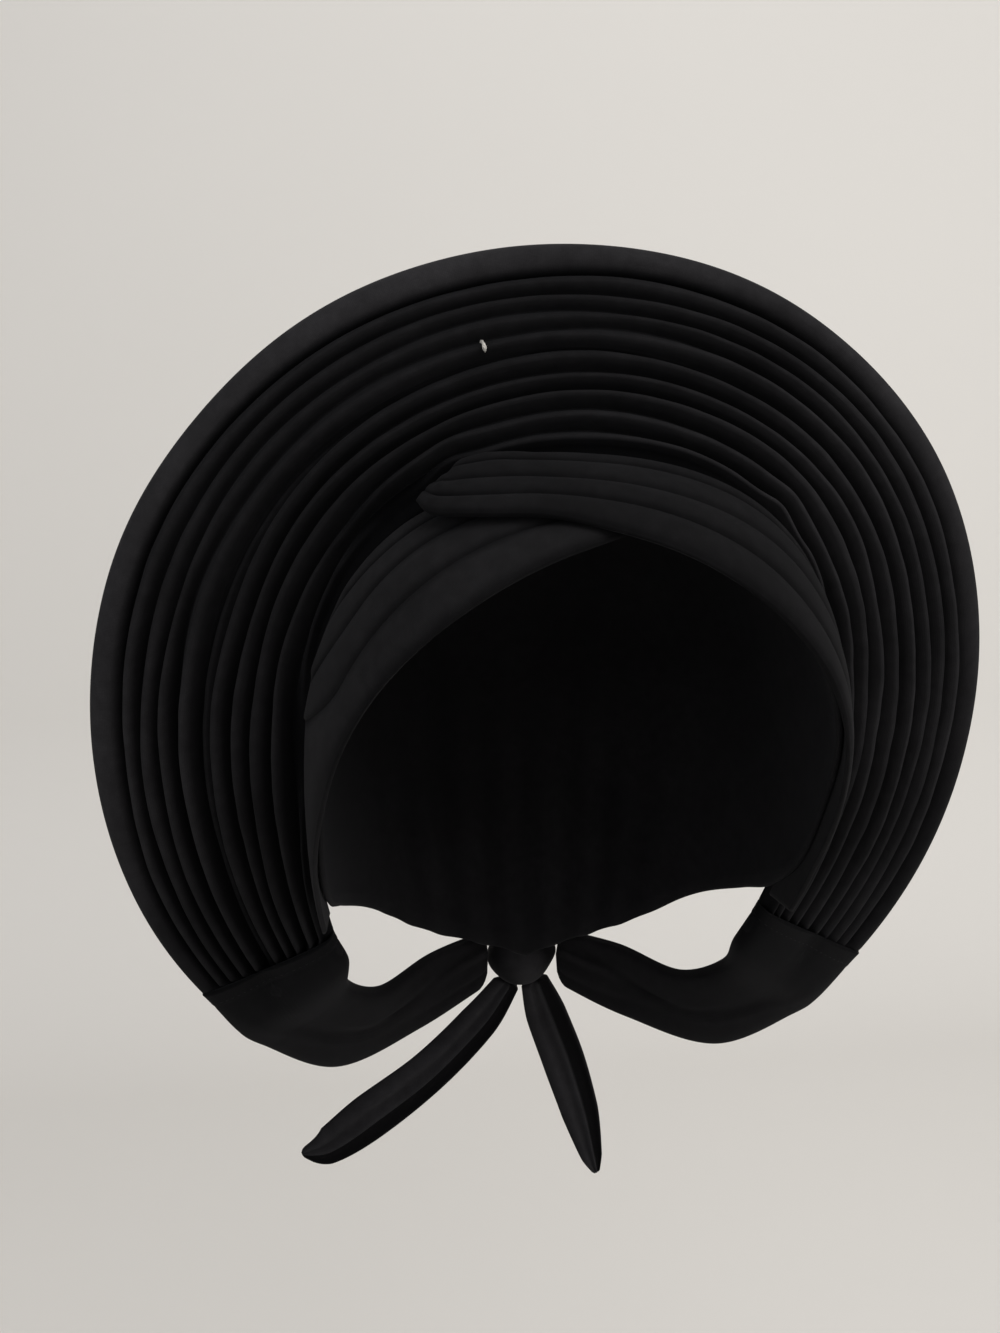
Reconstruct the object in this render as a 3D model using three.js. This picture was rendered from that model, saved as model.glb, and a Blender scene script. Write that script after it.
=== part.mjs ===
// A tied gele head tie in black crepe: a close cap, two pleated bands that cross over the forehead,
// a tall fan of long pleats from ear to ear over the crown, a plain cover on each end of the fan,
// and a knot with two tie ends at the nape.
// Millimetres. +X is the wearer's left, +Y the back of the head, +Z up. Angles are in degrees.
// The origin is on the inside of the cap, at the crown of the head.
import * as THREE from "three";

// Head hollow: an egg with superellipse sections, centred HEAD_HEIGHT below the crown
const HEAD_HALF_WIDTH = 74;
const HEAD_HALF_DEPTH = 95;
const HEAD_HEIGHT = 83;
const HEAD_DROP = 150;
const HEAD_POWER = 2.3;

// Cloth walls
const CAP_WALL = 1.5;
const BAND_WALL = 1.6;
const COVER_WALL = 1.5;

// Rim of the fan: an oval slightly squarer than an ellipse, in a plane that leans forward at the top
const RIM_HALF_WIDTH = 147.4;
const RIM_HALF_HEIGHT = 159.8;
const RIM_POWER = 2.04;
const RIM_BACK = 22.3;
const RIM_LEVEL = -94.2;
const RIM_TILT = 12.5;

// Fan: how far round it runs, and the size of its pleats
const FAN_FIRST_ANGLE = -41.2;
const FAN_LAST_ANGLE = 221.2;
const FAN_STATIONS = 42;
const PLEAT_DEPTH = 7;
const PLEAT_DEPTH_AT_ENDS = 5;
const PLEAT_WALL = 1.5;
const RIM_ROLL_DEPTH = 9;
const FOOT_SET_BACK = 2.6;
const FOOT_THICKNESS = 2.1;

// Root of the fan on the cap. angle: round the rim; turn: the root's own angle there; back: distance
// behind the crown; lift: first ridge above the head; foot: underside of the fan above the head
const FAN_ROOT = [
  { angle: -42, turn: -52, back: 25, lift: 9, foot: 6 },
  { angle: -33, turn: -41, back: 16, lift: 8.5, foot: 5.5 },
  { angle: -20, turn: -24, back: -2, lift: 7, foot: 2.2 },
  { angle: 0, turn: 0, back: -19, lift: 6, foot: 2 },
  { angle: 30, turn: 30, back: -25, lift: 7, foot: 2 },
  { angle: 60, turn: 60, back: -27, lift: 8.5, foot: 2 },
  { angle: 90, turn: 90, back: -28, lift: 9, foot: 2 },
  { angle: 120, turn: 120, back: -27, lift: 8, foot: 2 },
  { angle: 150, turn: 150, back: -24, lift: 6, foot: 2 },
  { angle: 180, turn: 180, back: -19, lift: 6, foot: 2 },
  { angle: 200, turn: 204, back: -2, lift: 7, foot: 2.2 },
  { angle: 213, turn: 221, back: 16, lift: 8.5, foot: 5.5 },
  { angle: 222, turn: 232, back: 25, lift: 9, foot: 6 },
];

// Pleats in order from the root to the rim; the narrow one lies sunk between its neighbours
const PLEATS = [
  "first", "second", "third", "fourth", "fifth", "narrow", "sixth", "seventh", "eighth", "ninth", "rim",
];
// Widths of the pleats at angles round the fan, as shares of its width, and how far the narrow one is sunk
const PLEAT_WIDTHS = [
  {
    angle: 20, first: 12.5, second: 15.5, third: 16, fourth: 19, fifth: 18, narrow: 3,
    sixth: 15, seventh: 16.5, eighth: 17.5, ninth: 18, rim: 21.5, sunk: 7,
  },
  {
    angle: 45, first: 14, second: 21, third: 19.5, fourth: 18.5, fifth: 18, narrow: 3,
    sixth: 19.5, seventh: 16.5, eighth: 18, ninth: 19.5, rim: 24, sunk: 7,
  },
  {
    angle: 75, first: 19, second: 22, third: 18, fourth: 19, fifth: 17.5, narrow: 3,
    sixth: 20, seventh: 17, eighth: 16.5, ninth: 21, rim: 27, sunk: 7,
  },
  {
    angle: 110, first: 17, second: 19, third: 18, fourth: 19, fifth: 19, narrow: 3,
    sixth: 20, seventh: 19.5, eighth: 17, ninth: 17, rim: 33, sunk: 7,
  },
  {
    angle: 155, first: 16, second: 16, third: 18.5, fourth: 18, fifth: 19, narrow: 12,
    sixth: 24, seventh: 16.5, eighth: 20, ninth: 22.5, rim: 29.5, sunk: 3.5,
  },
  {
    angle: 180, first: 14, second: 21, third: 19, fourth: 21, fifth: 19, narrow: 10,
    sixth: 26, seventh: 15, eighth: 19, ninth: 22, rim: 33, sunk: 3,
  },
  {
    angle: 200, first: 10.5, second: 20, third: 17.5, fourth: 17, fifth: 20.5, narrow: 11.5,
    sixth: 22, seventh: 20.5, eighth: 18, ninth: 21.5, rim: 25.5, sunk: 4,
  },
];

// Shape of one pleat. across: place from valley to valley; down: share of the pleat's depth
const PLEAT_FRONT = [
  { across: 0.16, down: 0.28 },
  { across: 0.36, down: 0 },
  { across: 0.64, down: 0 },
  { across: 0.84, down: 0.28 },
  { across: 1, down: 1 },
];
const REVERSE_FOLD_HALF = 0.24;

// Shape of the rim's pleat, which rolls to the back. roll: share of the roll's depth
const RIM_FRONT = [
  { across: 0.16, roll: 0.22 },
  { across: 0.36, roll: 0 },
  { across: 0.72, roll: 0.04 },
  { across: 0.95, roll: 0.24 },
  { across: 1, roll: 0.55 },
  { across: 0.93, roll: 1 },
];
const RIM_INNER_EDGE = 0.7;

// Angle over which the pleats flatten towards the fan's ends
const END_FLATTENING = 30;

// Front bands, from the ear to the hidden end. Bearings run from straight ahead towards the band's own
// side and rises up from the head's widest level; lifts are of the band's inside above the head
const UNDER_BAND = [
  { lowBearing: 84, lowRise: -37, highBearing: 97, highRise: -38, lowLift: 2.4, highLift: 2.4 },
  { lowBearing: 75, lowRise: -25, highBearing: 88, highRise: -23, lowLift: 2.4, highLift: 2.4 },
  { lowBearing: 65, lowRise: -12, highBearing: 80, highRise: -7, lowLift: 2.4, highLift: 2.4 },
  { lowBearing: 57, lowRise: -1, highBearing: 74.5, highRise: 6, lowLift: 2.4, highLift: 2.4 },
  { lowBearing: 49.5, lowRise: 10, highBearing: 72.5, highRise: 17, lowLift: 2.4, highLift: 2.4 },
  { lowBearing: 42, lowRise: 19.5, highBearing: 70.5, highRise: 28, lowLift: 2.4, highLift: 2.4 },
  { lowBearing: 33, lowRise: 28.5, highBearing: 66.5, highRise: 38, lowLift: 2.4, highLift: 2.4 },
  { lowBearing: 22.5, lowRise: 36.5, highBearing: 58, highRise: 47, lowLift: 2.4, highLift: 2.6 },
  { lowBearing: 11, lowRise: 42.8, highBearing: 44, highRise: 54.5, lowLift: 2.4, highLift: 2.8 },
  { lowBearing: -2, lowRise: 47.5, highBearing: 24, highRise: 60, lowLift: 2.4, highLift: 2.8 },
  { lowBearing: -15, lowRise: 51.5, highBearing: 0, highRise: 64, lowLift: 2.4, highLift: 2.8 },
];
const OVER_BAND = [
  { lowBearing: 84, lowRise: -37, highBearing: 97, highRise: -38, lowLift: 2.4, highLift: 2.4 },
  { lowBearing: 75, lowRise: -25, highBearing: 88, highRise: -23, lowLift: 2.4, highLift: 2.4 },
  { lowBearing: 65, lowRise: -12, highBearing: 80, highRise: -7, lowLift: 2.4, highLift: 2.4 },
  { lowBearing: 57, lowRise: -1, highBearing: 74.5, highRise: 6, lowLift: 2.4, highLift: 2.4 },
  { lowBearing: 49.5, lowRise: 10, highBearing: 72, highRise: 17, lowLift: 2.4, highLift: 2.4 },
  { lowBearing: 42, lowRise: 19.5, highBearing: 69.5, highRise: 29, lowLift: 2.5, highLift: 3.4 },
  { lowBearing: 33, lowRise: 28.5, highBearing: 64.5, highRise: 41, lowLift: 3, highLift: 4.6 },
  { lowBearing: 22.5, lowRise: 36.5, highBearing: 54, highRise: 53, lowLift: 4.4, highLift: 5.6 },
  { lowBearing: 11.5, lowRise: 42.6, highBearing: 33, highRise: 64, lowLift: 5.4, highLift: 6.2 },
  { lowBearing: 0, lowRise: 46.8, highBearing: 4, highRise: 70, lowLift: 5.6, highLift: 6.4 },
  { lowBearing: -13, lowRise: 49.4, highBearing: -24, highRise: 67.5, lowLift: 6, highLift: 8 },
  { lowBearing: -27, lowRise: 49.2, highBearing: -38, highRise: 65.5, lowLift: 6.8, highLift: 9.3 },
  { lowBearing: -41, lowRise: 49.4, highBearing: -46, highRise: 62.8, lowLift: 8, highLift: 9.7 },
  { lowBearing: -53.5, lowRise: 50, highBearing: -49.5, highRise: 59.5, lowLift: 9.5, highLift: 9.9 },
];
const BAND_STATIONS_PER_ROW = 1.3;
const BAND_WIDTH = 40;
const FOLD_CREASE = 0.5;
const UNDER_FOLDS = [0.31, 0.28, 0.22, 0.19];
const OVER_FOLDS = [0.25, 0.27, 0.3, 0.18];

// Shape of one fold of a band. across: place from crease to crease; swell: height over the wall
const FOLD_FRONT = [
  { across: 0.2, swell: 0.77 },
  { across: 0.5, swell: 1.1 },
  { across: 0.8, swell: 0.77 },
  { across: 1, swell: -FOLD_CREASE },
];

// Lower edge of the cap: bearing from straight ahead, rise of the edge
const CAP_EDGE = [
  { bearing: 0, rise: 54 },
  { bearing: 20, rise: 45 },
  { bearing: 40, rise: 28 },
  { bearing: 55, rise: 9 },
  { bearing: 67, rise: -7 },
  { bearing: 80, rise: -26 },
  { bearing: 95, rise: -36 },
  { bearing: 110, rise: -40 },
  { bearing: 130, rise: -44 },
  { bearing: 150, rise: -50 },
  { bearing: 180, rise: -56 },
];
const CAP_SEGMENTS = 40;
const CAP_RINGS = 8;

// End covers on the wearer's left, from just past the mouth to the knot: low edge, high edge, thickness
const COVER_SECTIONS = [
  { lowX: 101, lowY: 51, lowZ: -209, highX: 68, highY: 40, highZ: -182, thick: 9.5 },
  { lowX: 76, lowY: 63, lowZ: -228, highX: 56, highY: 56, highZ: -193, thick: 8 },
  { lowX: 43, lowY: 79, lowZ: -224, highX: 37, highY: 74, highZ: -190, thick: 7 },
  { lowX: 14, lowY: 87.5, lowZ: -211, highX: 14, highY: 86, highZ: -187, thick: 7 },
];
const COVER_MOUTH_ANGLE = 35.5;
const COVER_POCKET_ANGLE = 43;
const COVER_CLEAR = 1.2;
const COVER_CORNER = 2.2;
const MOST_CORNER = 0.4;
const COVER_RINGS = 10;

// Knot at the nape
const KNOT_CENTRE = [0, 89, -199];
const KNOT_HALF_WIDTH = 12.6;
const KNOT_HALF_DEPTH = 9;
const KNOT_HALF_HEIGHT = 13;
const KNOT_LEVELS = 9;
const KNOT_SEGMENTS = 16;
const KNOT_TURN_SWELL = 0.1;
const KNOT_FULLNESS = 0.8;

// Tie ends, from the knot to the tip: centre line, width and thickness
const RIGHT_TIE_END = [
  { x: -5, y: 90.5, z: -211.5, wide: 11, thick: 5 },
  { x: -17, y: 95, z: -232, wide: 17, thick: 5.5 },
  { x: -38, y: 95, z: -254, wide: 19, thick: 5.5 },
  { x: -62, y: 90, z: -268, wide: 18, thick: 5 },
  { x: -82, y: 83, z: -277, wide: 11, thick: 4 },
  { x: -91, y: 80, z: -278, wide: 3, thick: 2.5 },
];
const LEFT_TIE_END = [
  { x: 5.5, y: 90.5, z: -211.5, wide: 11, thick: 5 },
  { x: 12, y: 97, z: -232, wide: 17, thick: 5.5 },
  { x: 20, y: 99, z: -255, wide: 18, thick: 5.5 },
  { x: 27, y: 95, z: -278, wide: 16, thick: 5 },
  { x: 32, y: 91, z: -298, wide: 9, thick: 4 },
  { x: 34, y: 90, z: -305, wide: 3, thick: 2.5 },
];
const TIE_END_STATIONS = 12;

// Section of a tie end in shares of its width and thickness: two folds on the outside, flat inside
const TIE_END_SECTION = [
  [-0.5, 0.1], [-0.2, 0.5], [0.02, 0.12], [0.25, 0.5], [0.5, 0.1], [0.4, -0.4], [0, -0.5], [-0.4, -0.4],
];

const radians = THREE.MathUtils.degToRad;
const lerp = THREE.MathUtils.lerp;

// Smooth curve through a table's rows: value of one column where another column, the key, is at
function along(rows, key, column, at) {
  const last = rows.length - 1;
  let i = rows.findIndex((row) => row[key] > at) - 1;
  if (i < -1) i = last - 1;
  i = THREE.MathUtils.clamp(i, 0, last - 1);
  const slope = (j) => {
    const a = rows[Math.max(j - 1, 0)];
    const b = rows[Math.min(j + 1, last)];
    return (b[column] - a[column]) / (b[key] - a[key]);
  };
  const from = rows[i];
  const to = rows[i + 1];
  const span = to[key] - from[key];
  const t = THREE.MathUtils.clamp((at - from[key]) / span, 0, 1);
  const t2 = t * t;
  const t3 = t2 * t;
  return (
    (2 * t3 - 3 * t2 + 1) * from[column] +
    (t3 - 2 * t2 + t) * span * slope(i) +
    (3 * t2 - 2 * t3) * to[column] +
    (t3 - t2) * span * slope(i + 1)
  );
}

// Smooth curve through points that a table's rows give
function curveOf(rows, point) {
  return new THREE.CatmullRomCurve3(rows.map(point), false, "centripetal");
}

// Direction from the middle of the head, by bearing from straight ahead and rise
function direction(bearing, rise) {
  const b = radians(bearing);
  const r = radians(rise);
  return new THREE.Vector3(Math.sin(b) * Math.cos(r), -Math.cos(b) * Math.cos(r), Math.sin(r));
}

// Point on the head form in that direction, lift above its surface
function onHead(towards, lift) {
  const d = towards.clone().normalize();
  const below = d.z < 0 ? HEAD_DROP : HEAD_HEIGHT;
  const reach =
    Math.abs(d.x / (HEAD_HALF_WIDTH + lift)) ** HEAD_POWER +
    Math.abs(d.y / (HEAD_HALF_DEPTH + lift)) ** HEAD_POWER +
    Math.abs(d.z / (below + lift)) ** HEAD_POWER;
  d.multiplyScalar(reach ** (-1 / HEAD_POWER));
  d.z -= HEAD_HEIGHT;
  return d;
}

// Point on the head form in the cross plane y = back, at an angle from the wearer's left, lift above it
function acrossHead(angle, back, lift) {
  const c = Math.cos(radians(angle));
  const s = Math.sin(radians(angle));
  const drop = s < 0 ? HEAD_DROP : HEAD_HEIGHT;
  const level = 1 - Math.abs(back / (HEAD_HALF_DEPTH + lift)) ** HEAD_POWER;
  const reach =
    Math.abs(c / (HEAD_HALF_WIDTH + lift)) ** HEAD_POWER + Math.abs(s / (drop + lift)) ** HEAD_POWER;
  const r = (level / reach) ** (1 / HEAD_POWER);
  return new THREE.Vector3(r * c, back, r * s - HEAD_HEIGHT);
}

// Closed mesh from vertices and triangles, its faces turned outwards
function closedMesh(name, vertices, triangles, material) {
  let volume = 0;
  for (const [a, b, c] of triangles) {
    volume += vertices[a].dot(new THREE.Vector3().crossVectors(vertices[b], vertices[c]));
  }
  const index = triangles.flatMap(([a, b, c]) => (volume < 0 ? [a, c, b] : [a, b, c]));
  const geometry = new THREE.BufferGeometry();
  const places = vertices.flatMap((v) => v.toArray());
  geometry.setAttribute("position", new THREE.Float32BufferAttribute(places, 3));
  geometry.setIndex(index);
  geometry.computeVertexNormals();
  const mesh = new THREE.Mesh(geometry, material);
  mesh.name = name;
  return mesh;
}

// Triangles between two closed rings of count points, given by their first vertices
function ringBand(first, second, count) {
  const triangles = [];
  for (let i = 0; i < count; i++) {
    const j = (i + 1) % count;
    triangles.push([first + i, first + j, second + j], [first + i, second + j, second + i]);
  }
  return triangles;
}

// Loft through closed rings of points. An end is closed by its own apex, or by its outline drawn flat
function loft(name, rings, material, ends = {}) {
  const count = rings[0].length;
  const vertices = rings.flat();
  const triangles = [];
  for (let r = 0; r + 1 < rings.length; r++) {
    triangles.push(...ringBand(r * count, (r + 1) * count, count));
  }
  const closeEnd = (first, turned, apex, outline) => {
    const flip = ([a, b, c]) => (turned ? [a, c, b] : [a, b, c]);
    if (apex) {
      vertices.push(apex);
      for (let i = 0; i < count; i++) {
        triangles.push(flip([vertices.length - 1, first + ((i + 1) % count), first + i]));
      }
      return;
    }
    for (const face of THREE.ShapeUtils.triangulateShape(outline, [])) {
      const anticlockwise = THREE.ShapeUtils.isClockWise(outline) ? face : [face[0], face[2], face[1]];
      triangles.push(flip(anticlockwise.map((i) => first + i)));
    }
  };
  closeEnd(0, false, ends.firstApex, ends.firstOutline);
  closeEnd((rings.length - 1) * count, true, ends.lastApex, ends.lastOutline);
  return closedMesh(name, vertices, triangles, material);
}

const clothBlack = (name, colour, roughness) => {
  const material = new THREE.MeshStandardMaterial({ color: colour, roughness, metalness: 0 });
  material.name = name;
  return material;
};

// Point of the rim, at an angle from the wearer's left
function rimPoint(angle) {
  const squared = (share) => Math.sign(share) * Math.abs(share) ** (2 / RIM_POWER);
  const up = RIM_HALF_HEIGHT * squared(Math.sin(radians(angle)));
  return new THREE.Vector3(
    RIM_HALF_WIDTH * squared(Math.cos(radians(angle))),
    RIM_BACK - up * Math.sin(radians(RIM_TILT)),
    RIM_LEVEL + up * Math.cos(radians(RIM_TILT)),
  );
}

// First ridge of the fan, where it rises from the cap
function rootPoint(angle) {
  const at = (column) => along(FAN_ROOT, "angle", column, angle);
  return acrossHead(at("turn"), at("back"), at("lift"));
}

// Frame of the fan's cross section: outward from root to rim, and forward off the pleats
function fanFrame(angle) {
  const root = rootPoint(angle);
  const rim = rimPoint(angle);
  const width = root.distanceTo(rim);
  const outward = rim.clone().sub(root).divideScalar(width);
  const step = 0.5;
  const round = rimPoint(angle + step).add(rootPoint(angle + step));
  round.sub(rimPoint(angle - step)).sub(rootPoint(angle - step));
  const forward = new THREE.Vector3().crossVectors(outward, round).normalize();
  return { root, outward, forward, width };
}

// Cross section of the fan at an angle: front of every pleat from root to rim, then back again
function fanSection(angle) {
  const { root, outward, forward, width } = fanFrame(angle);
  const toEnd = Math.min(angle - FAN_FIRST_ANGLE, FAN_LAST_ANGLE - angle);
  const open = THREE.MathUtils.smoothstep(toEnd, 0, END_FLATTENING);
  const depth = lerp(PLEAT_DEPTH_AT_ENDS, PLEAT_DEPTH, open);
  const roll = RIM_ROLL_DEPTH * (depth / PLEAT_DEPTH);
  const fold = depth + PLEAT_WALL;
  const shares = PLEATS.map((pleat) => along(PLEAT_WIDTHS, "angle", pleat, angle));
  const all = shares.reduce((sum, share) => sum + share, 0);
  const column = (name) => along(FAN_ROOT, "angle", name, angle);
  const footBack = column("back") + FOOT_SET_BACK;
  const front = [acrossHead(column("turn"), footBack, column("foot"))];
  const rear = [acrossHead(column("turn"), footBack + FOOT_THICKNESS, column("foot"))];
  const at = (s, h) => root.clone().addScaledVector(outward, s).addScaledVector(forward, h);
  let start = 0;
  PLEATS.forEach((pleat, i) => {
    const wide = (shares[i] / all) * width;
    const sinking = along(PLEAT_WIDTHS, "angle", "sunk", angle) * (depth / PLEAT_DEPTH);
    const sunk = pleat === "narrow" ? sinking : 0;
    const end = start + wide;
    const inner = at(start + 0.5 * wide, -PLEAT_WALL - sunk);
    if (pleat === "rim") {
      front.push(...RIM_FRONT.map((p) => at(start + p.across * wide, -p.roll * roll)));
      rear.push(inner, at(start + RIM_INNER_EDGE * wide, -roll));
    } else {
      const dip = (p) => Math.min(p.down * depth + sunk, depth);
      const half = REVERSE_FOLD_HALF * wide;
      front.push(...PLEAT_FRONT.map((p) => at(start + p.across * wide, -dip(p))));
      rear.push(inner, at(end - half, -fold), at(end + half, -fold));
    }
    start = end;
  });
  const points = [...front, ...rear.reverse()];
  const flat = points.map((p) => {
    const q = p.clone().sub(root);
    return new THREE.Vector2(q.dot(outward), q.dot(forward));
  });
  return { points, flat };
}

// Fan: one cloth in long pleats, lofted round the head from ear to ear
function pleatedFan(material) {
  const sections = [];
  for (let i = 0; i < FAN_STATIONS; i++) {
    sections.push(fanSection(lerp(FAN_FIRST_ANGLE, FAN_LAST_ANGLE, i / (FAN_STATIONS - 1))));
  }
  return loft("pleated_fan", sections.map((section) => section.points), material, {
    firstOutline: sections[0].flat,
    lastOutline: sections.at(-1).flat,
  });
}

// Cap: a cloth shell over the crown and the back of the head
function crownCap(material) {
  const ring = (share, lift) => {
    const points = [];
    for (let i = 0; i < CAP_SEGMENTS; i++) {
      const bearing = (i * 360) / CAP_SEGMENTS;
      const edge = along(CAP_EDGE, "bearing", "rise", Math.min(bearing, 360 - bearing));
      points.push(onHead(direction(bearing, lerp(edge, 90, share)), lift));
    }
    return points;
  };
  const rings = [];
  for (let i = CAP_RINGS - 1; i >= 0; i--) rings.push(ring(i / CAP_RINGS, 0));
  for (let i = 0; i < CAP_RINGS; i++) rings.push(ring(i / CAP_RINGS, CAP_WALL));
  return loft("crown_cap", rings, material, {
    firstApex: new THREE.Vector3(0, 0, 0),
    lastApex: new THREE.Vector3(0, 0, CAP_WALL),
  });
}

// Heights of a band's outside across its folds: pairs of place across the band and height of the cloth
function foldProfile(folds) {
  const profile = [[0, BAND_WALL - FOLD_CREASE]];
  let start = 0;
  folds.forEach((fold) => {
    for (const { across, swell } of FOLD_FRONT) {
      profile.push([start + across * fold, BAND_WALL + swell]);
    }
    start += fold;
  });
  return profile;
}

// Front band: a pleated strip on the head form, on the side that its bearings are turned to
function frontBand(name, rows, folds, side, material) {
  const low = curveOf(rows, (row) => direction(side * row.lowBearing, row.lowRise));
  const high = curveOf(rows, (row) => direction(side * row.highBearing, row.highRise));
  const lifts = curveOf(rows, (row, i) => new THREE.Vector3(row.lowLift, row.highLift, i));
  const outside = foldProfile(folds);
  const inside = [1, 0.75, 0.5, 0.25, 0].map((across) => [across, 0]);
  const stations = Math.round(rows.length * BAND_STATIONS_PER_ROW);
  const rings = [];
  for (let i = 0; i < stations; i++) {
    const t = i / (stations - 1);
    const from = low.getPoint(t);
    const to = high.getPoint(t);
    const lift = lifts.getPoint(t);
    rings.push(
      [...outside, ...inside].map(([across, height]) =>
        onHead(from.clone().lerp(to, across), lerp(lift.x, lift.y, across) + height),
      ),
    );
  }
  const outline = [...outside, ...inside].map(
    ([across, height]) => new THREE.Vector2(across * BAND_WIDTH, height),
  );
  return loft(name, rings, material, { firstOutline: outline, lastOutline: outline });
}

// Flat tube's ring: a box with cut corners, wide along one direction and thick along the other
function boxRing(centre, wide, thick, alongWidth, alongThickness, corner) {
  const w = wide / 2;
  const t = thick / 2;
  const c = Math.min(corner, MOST_CORNER * t);
  const outline = [
    [w, 0], [w, t - c], [w - c, t], [0.5 * w, t], [0, t], [-0.5 * w, t], [-w + c, t], [-w, t - c],
    [-w, 0], [-w, -t + c], [-w + c, -t], [-0.5 * w, -t], [0, -t], [0.5 * w, -t], [w - c, -t], [w, -t + c],
  ];
  return outline.map(([u, v]) =>
    centre.clone().addScaledVector(alongWidth, u).addScaledVector(alongThickness, v),
  );
}

// Section of an end cover where it holds the pleats: centre and directions from the fan's own section
function coverMouth(angle) {
  const { points } = fanSection(angle);
  const { root, outward, forward } = fanFrame(angle);
  const s = points.map((p) => p.clone().sub(root).dot(outward));
  const h = points.map((p) => p.clone().sub(root).dot(forward));
  const [lowS, highS, lowH, highH] = [Math.min(...s), Math.max(...s), Math.min(...h), Math.max(...h)];
  const centre = root.clone();
  centre.addScaledVector(outward, (lowS + highS) / 2).addScaledVector(forward, (lowH + highH) / 2);
  return { centre, outward, forward, wide: highS - lowS, thick: highH - lowH };
}

// End cover: a cuff over the ends of the pleats that narrows to the knot, open at its mouth
function endCover(name, side, material) {
  const fanAngle = (below) => (side > 0 ? -below : 180 + below);
  const mouth = coverMouth(fanAngle(COVER_MOUTH_ANGLE));
  const pocket = coverMouth(fanAngle(COVER_POCKET_ANGLE));
  const rowOf = (section, grow) => {
    const half = section.outward.clone().multiplyScalar(section.wide / 2 + grow);
    const low = section.centre.clone().add(half);
    const high = section.centre.clone().sub(half);
    return { low, high, thick: section.thick + 2 * grow };
  };
  const outer = COVER_CLEAR + COVER_WALL;
  const rows = [rowOf(mouth, outer), rowOf(pocket, outer)];
  for (const row of COVER_SECTIONS) {
    rows.push({
      low: new THREE.Vector3(side * row.lowX, row.lowY, row.lowZ),
      high: new THREE.Vector3(side * row.highX, row.highY, row.highZ),
      thick: row.thick,
    });
  }
  const low = curveOf(rows, (row) => row.low);
  const high = curveOf(rows, (row) => row.high);
  const thick = curveOf(rows, (row, i) => new THREE.Vector3(row.thick, i, 0));
  const ringAt = (t) => {
    const a = low.getPoint(t);
    const b = high.getPoint(t);
    const centre = a.clone().add(b).multiplyScalar(0.5);
    const heading = low.getTangent(t).add(high.getTangent(t)).normalize();
    const across = a.clone().sub(b);
    const wide = across.length();
    across.normalize();
    const off = new THREE.Vector3().crossVectors(across, heading).normalize();
    return { centre, wide, across, off, thick: thick.getPoint(t).x };
  };
  const rings = [];
  for (let i = COVER_RINGS; i >= 0; i--) {
    const r = ringAt(i / COVER_RINGS);
    rings.push(boxRing(r.centre, r.wide, r.thick, r.across, r.off, COVER_CORNER));
  }
  const lastInside = 1 / (rows.length - 1);
  for (const t of [0, 0.5, 1]) {
    const r = ringAt(t * lastInside);
    rings.push(
      boxRing(r.centre, r.wide - 2 * COVER_WALL, r.thick - 2 * COVER_WALL, r.across, r.off, COVER_CORNER),
    );
  }
  const middle = (ring) => ring.reduce((sum, p) => sum.add(p), new THREE.Vector3()).divideScalar(ring.length);
  return loft(name, rings, material, { firstApex: middle(rings[0]), lastApex: middle(rings.at(-1)) });
}

// Knot: a rounded lump with one turn of cloth round its waist
function tieKnot(material) {
  const rings = [];
  for (let i = 1; i < KNOT_LEVELS; i++) {
    const a = radians((180 * i) / KNOT_LEVELS - 90);
    const waist = 1 + KNOT_TURN_SWELL * Math.cos(3 * a);
    const ring = [];
    for (let j = 0; j < KNOT_SEGMENTS; j++) {
      const b = radians((360 * j) / KNOT_SEGMENTS);
      ring.push(
        new THREE.Vector3(
          KNOT_HALF_WIDTH * Math.cos(a) ** KNOT_FULLNESS * Math.cos(b) * waist,
          KNOT_HALF_DEPTH * Math.cos(a) ** KNOT_FULLNESS * Math.sin(b) * waist,
          KNOT_HALF_HEIGHT * Math.sin(a),
        ).add(new THREE.Vector3(...KNOT_CENTRE)),
      );
    }
    rings.push(ring);
  }
  const [x, y, z] = KNOT_CENTRE;
  const pole = (sign) => new THREE.Vector3(x, y, z + sign * KNOT_HALF_HEIGHT);
  return loft("tie_knot", rings, material, { firstApex: pole(-1), lastApex: pole(1) });
}

// Tie end: a folded strip that hangs from the knot and narrows to its tip
function tieEnd(name, rows, material) {
  const path = curveOf(rows, (row) => new THREE.Vector3(row.x, row.y, row.z));
  const size = curveOf(rows, (row, i) => new THREE.Vector3(row.wide, row.thick, i));
  const rings = [];
  const outlines = [];
  for (let i = 0; i < TIE_END_STATIONS; i++) {
    const t = i / (TIE_END_STATIONS - 1);
    const heading = path.getTangent(t);
    const off = new THREE.Vector3(0, 1, 0);
    off.addScaledVector(heading, -off.dot(heading)).normalize();
    const across = new THREE.Vector3().crossVectors(heading, off);
    const { x: wide, y: thick } = size.getPoint(t);
    rings.push(
      TIE_END_SECTION.map(([u, v]) =>
        path.getPoint(t).addScaledVector(across, u * wide).addScaledVector(off, v * thick),
      ),
    );
    outlines.push(TIE_END_SECTION.map(([u, v]) => new THREE.Vector2(u * wide, v * thick)));
  }
  return loft(name, rings, material, { firstOutline: outlines[0], lastOutline: outlines.at(-1) });
}

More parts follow.
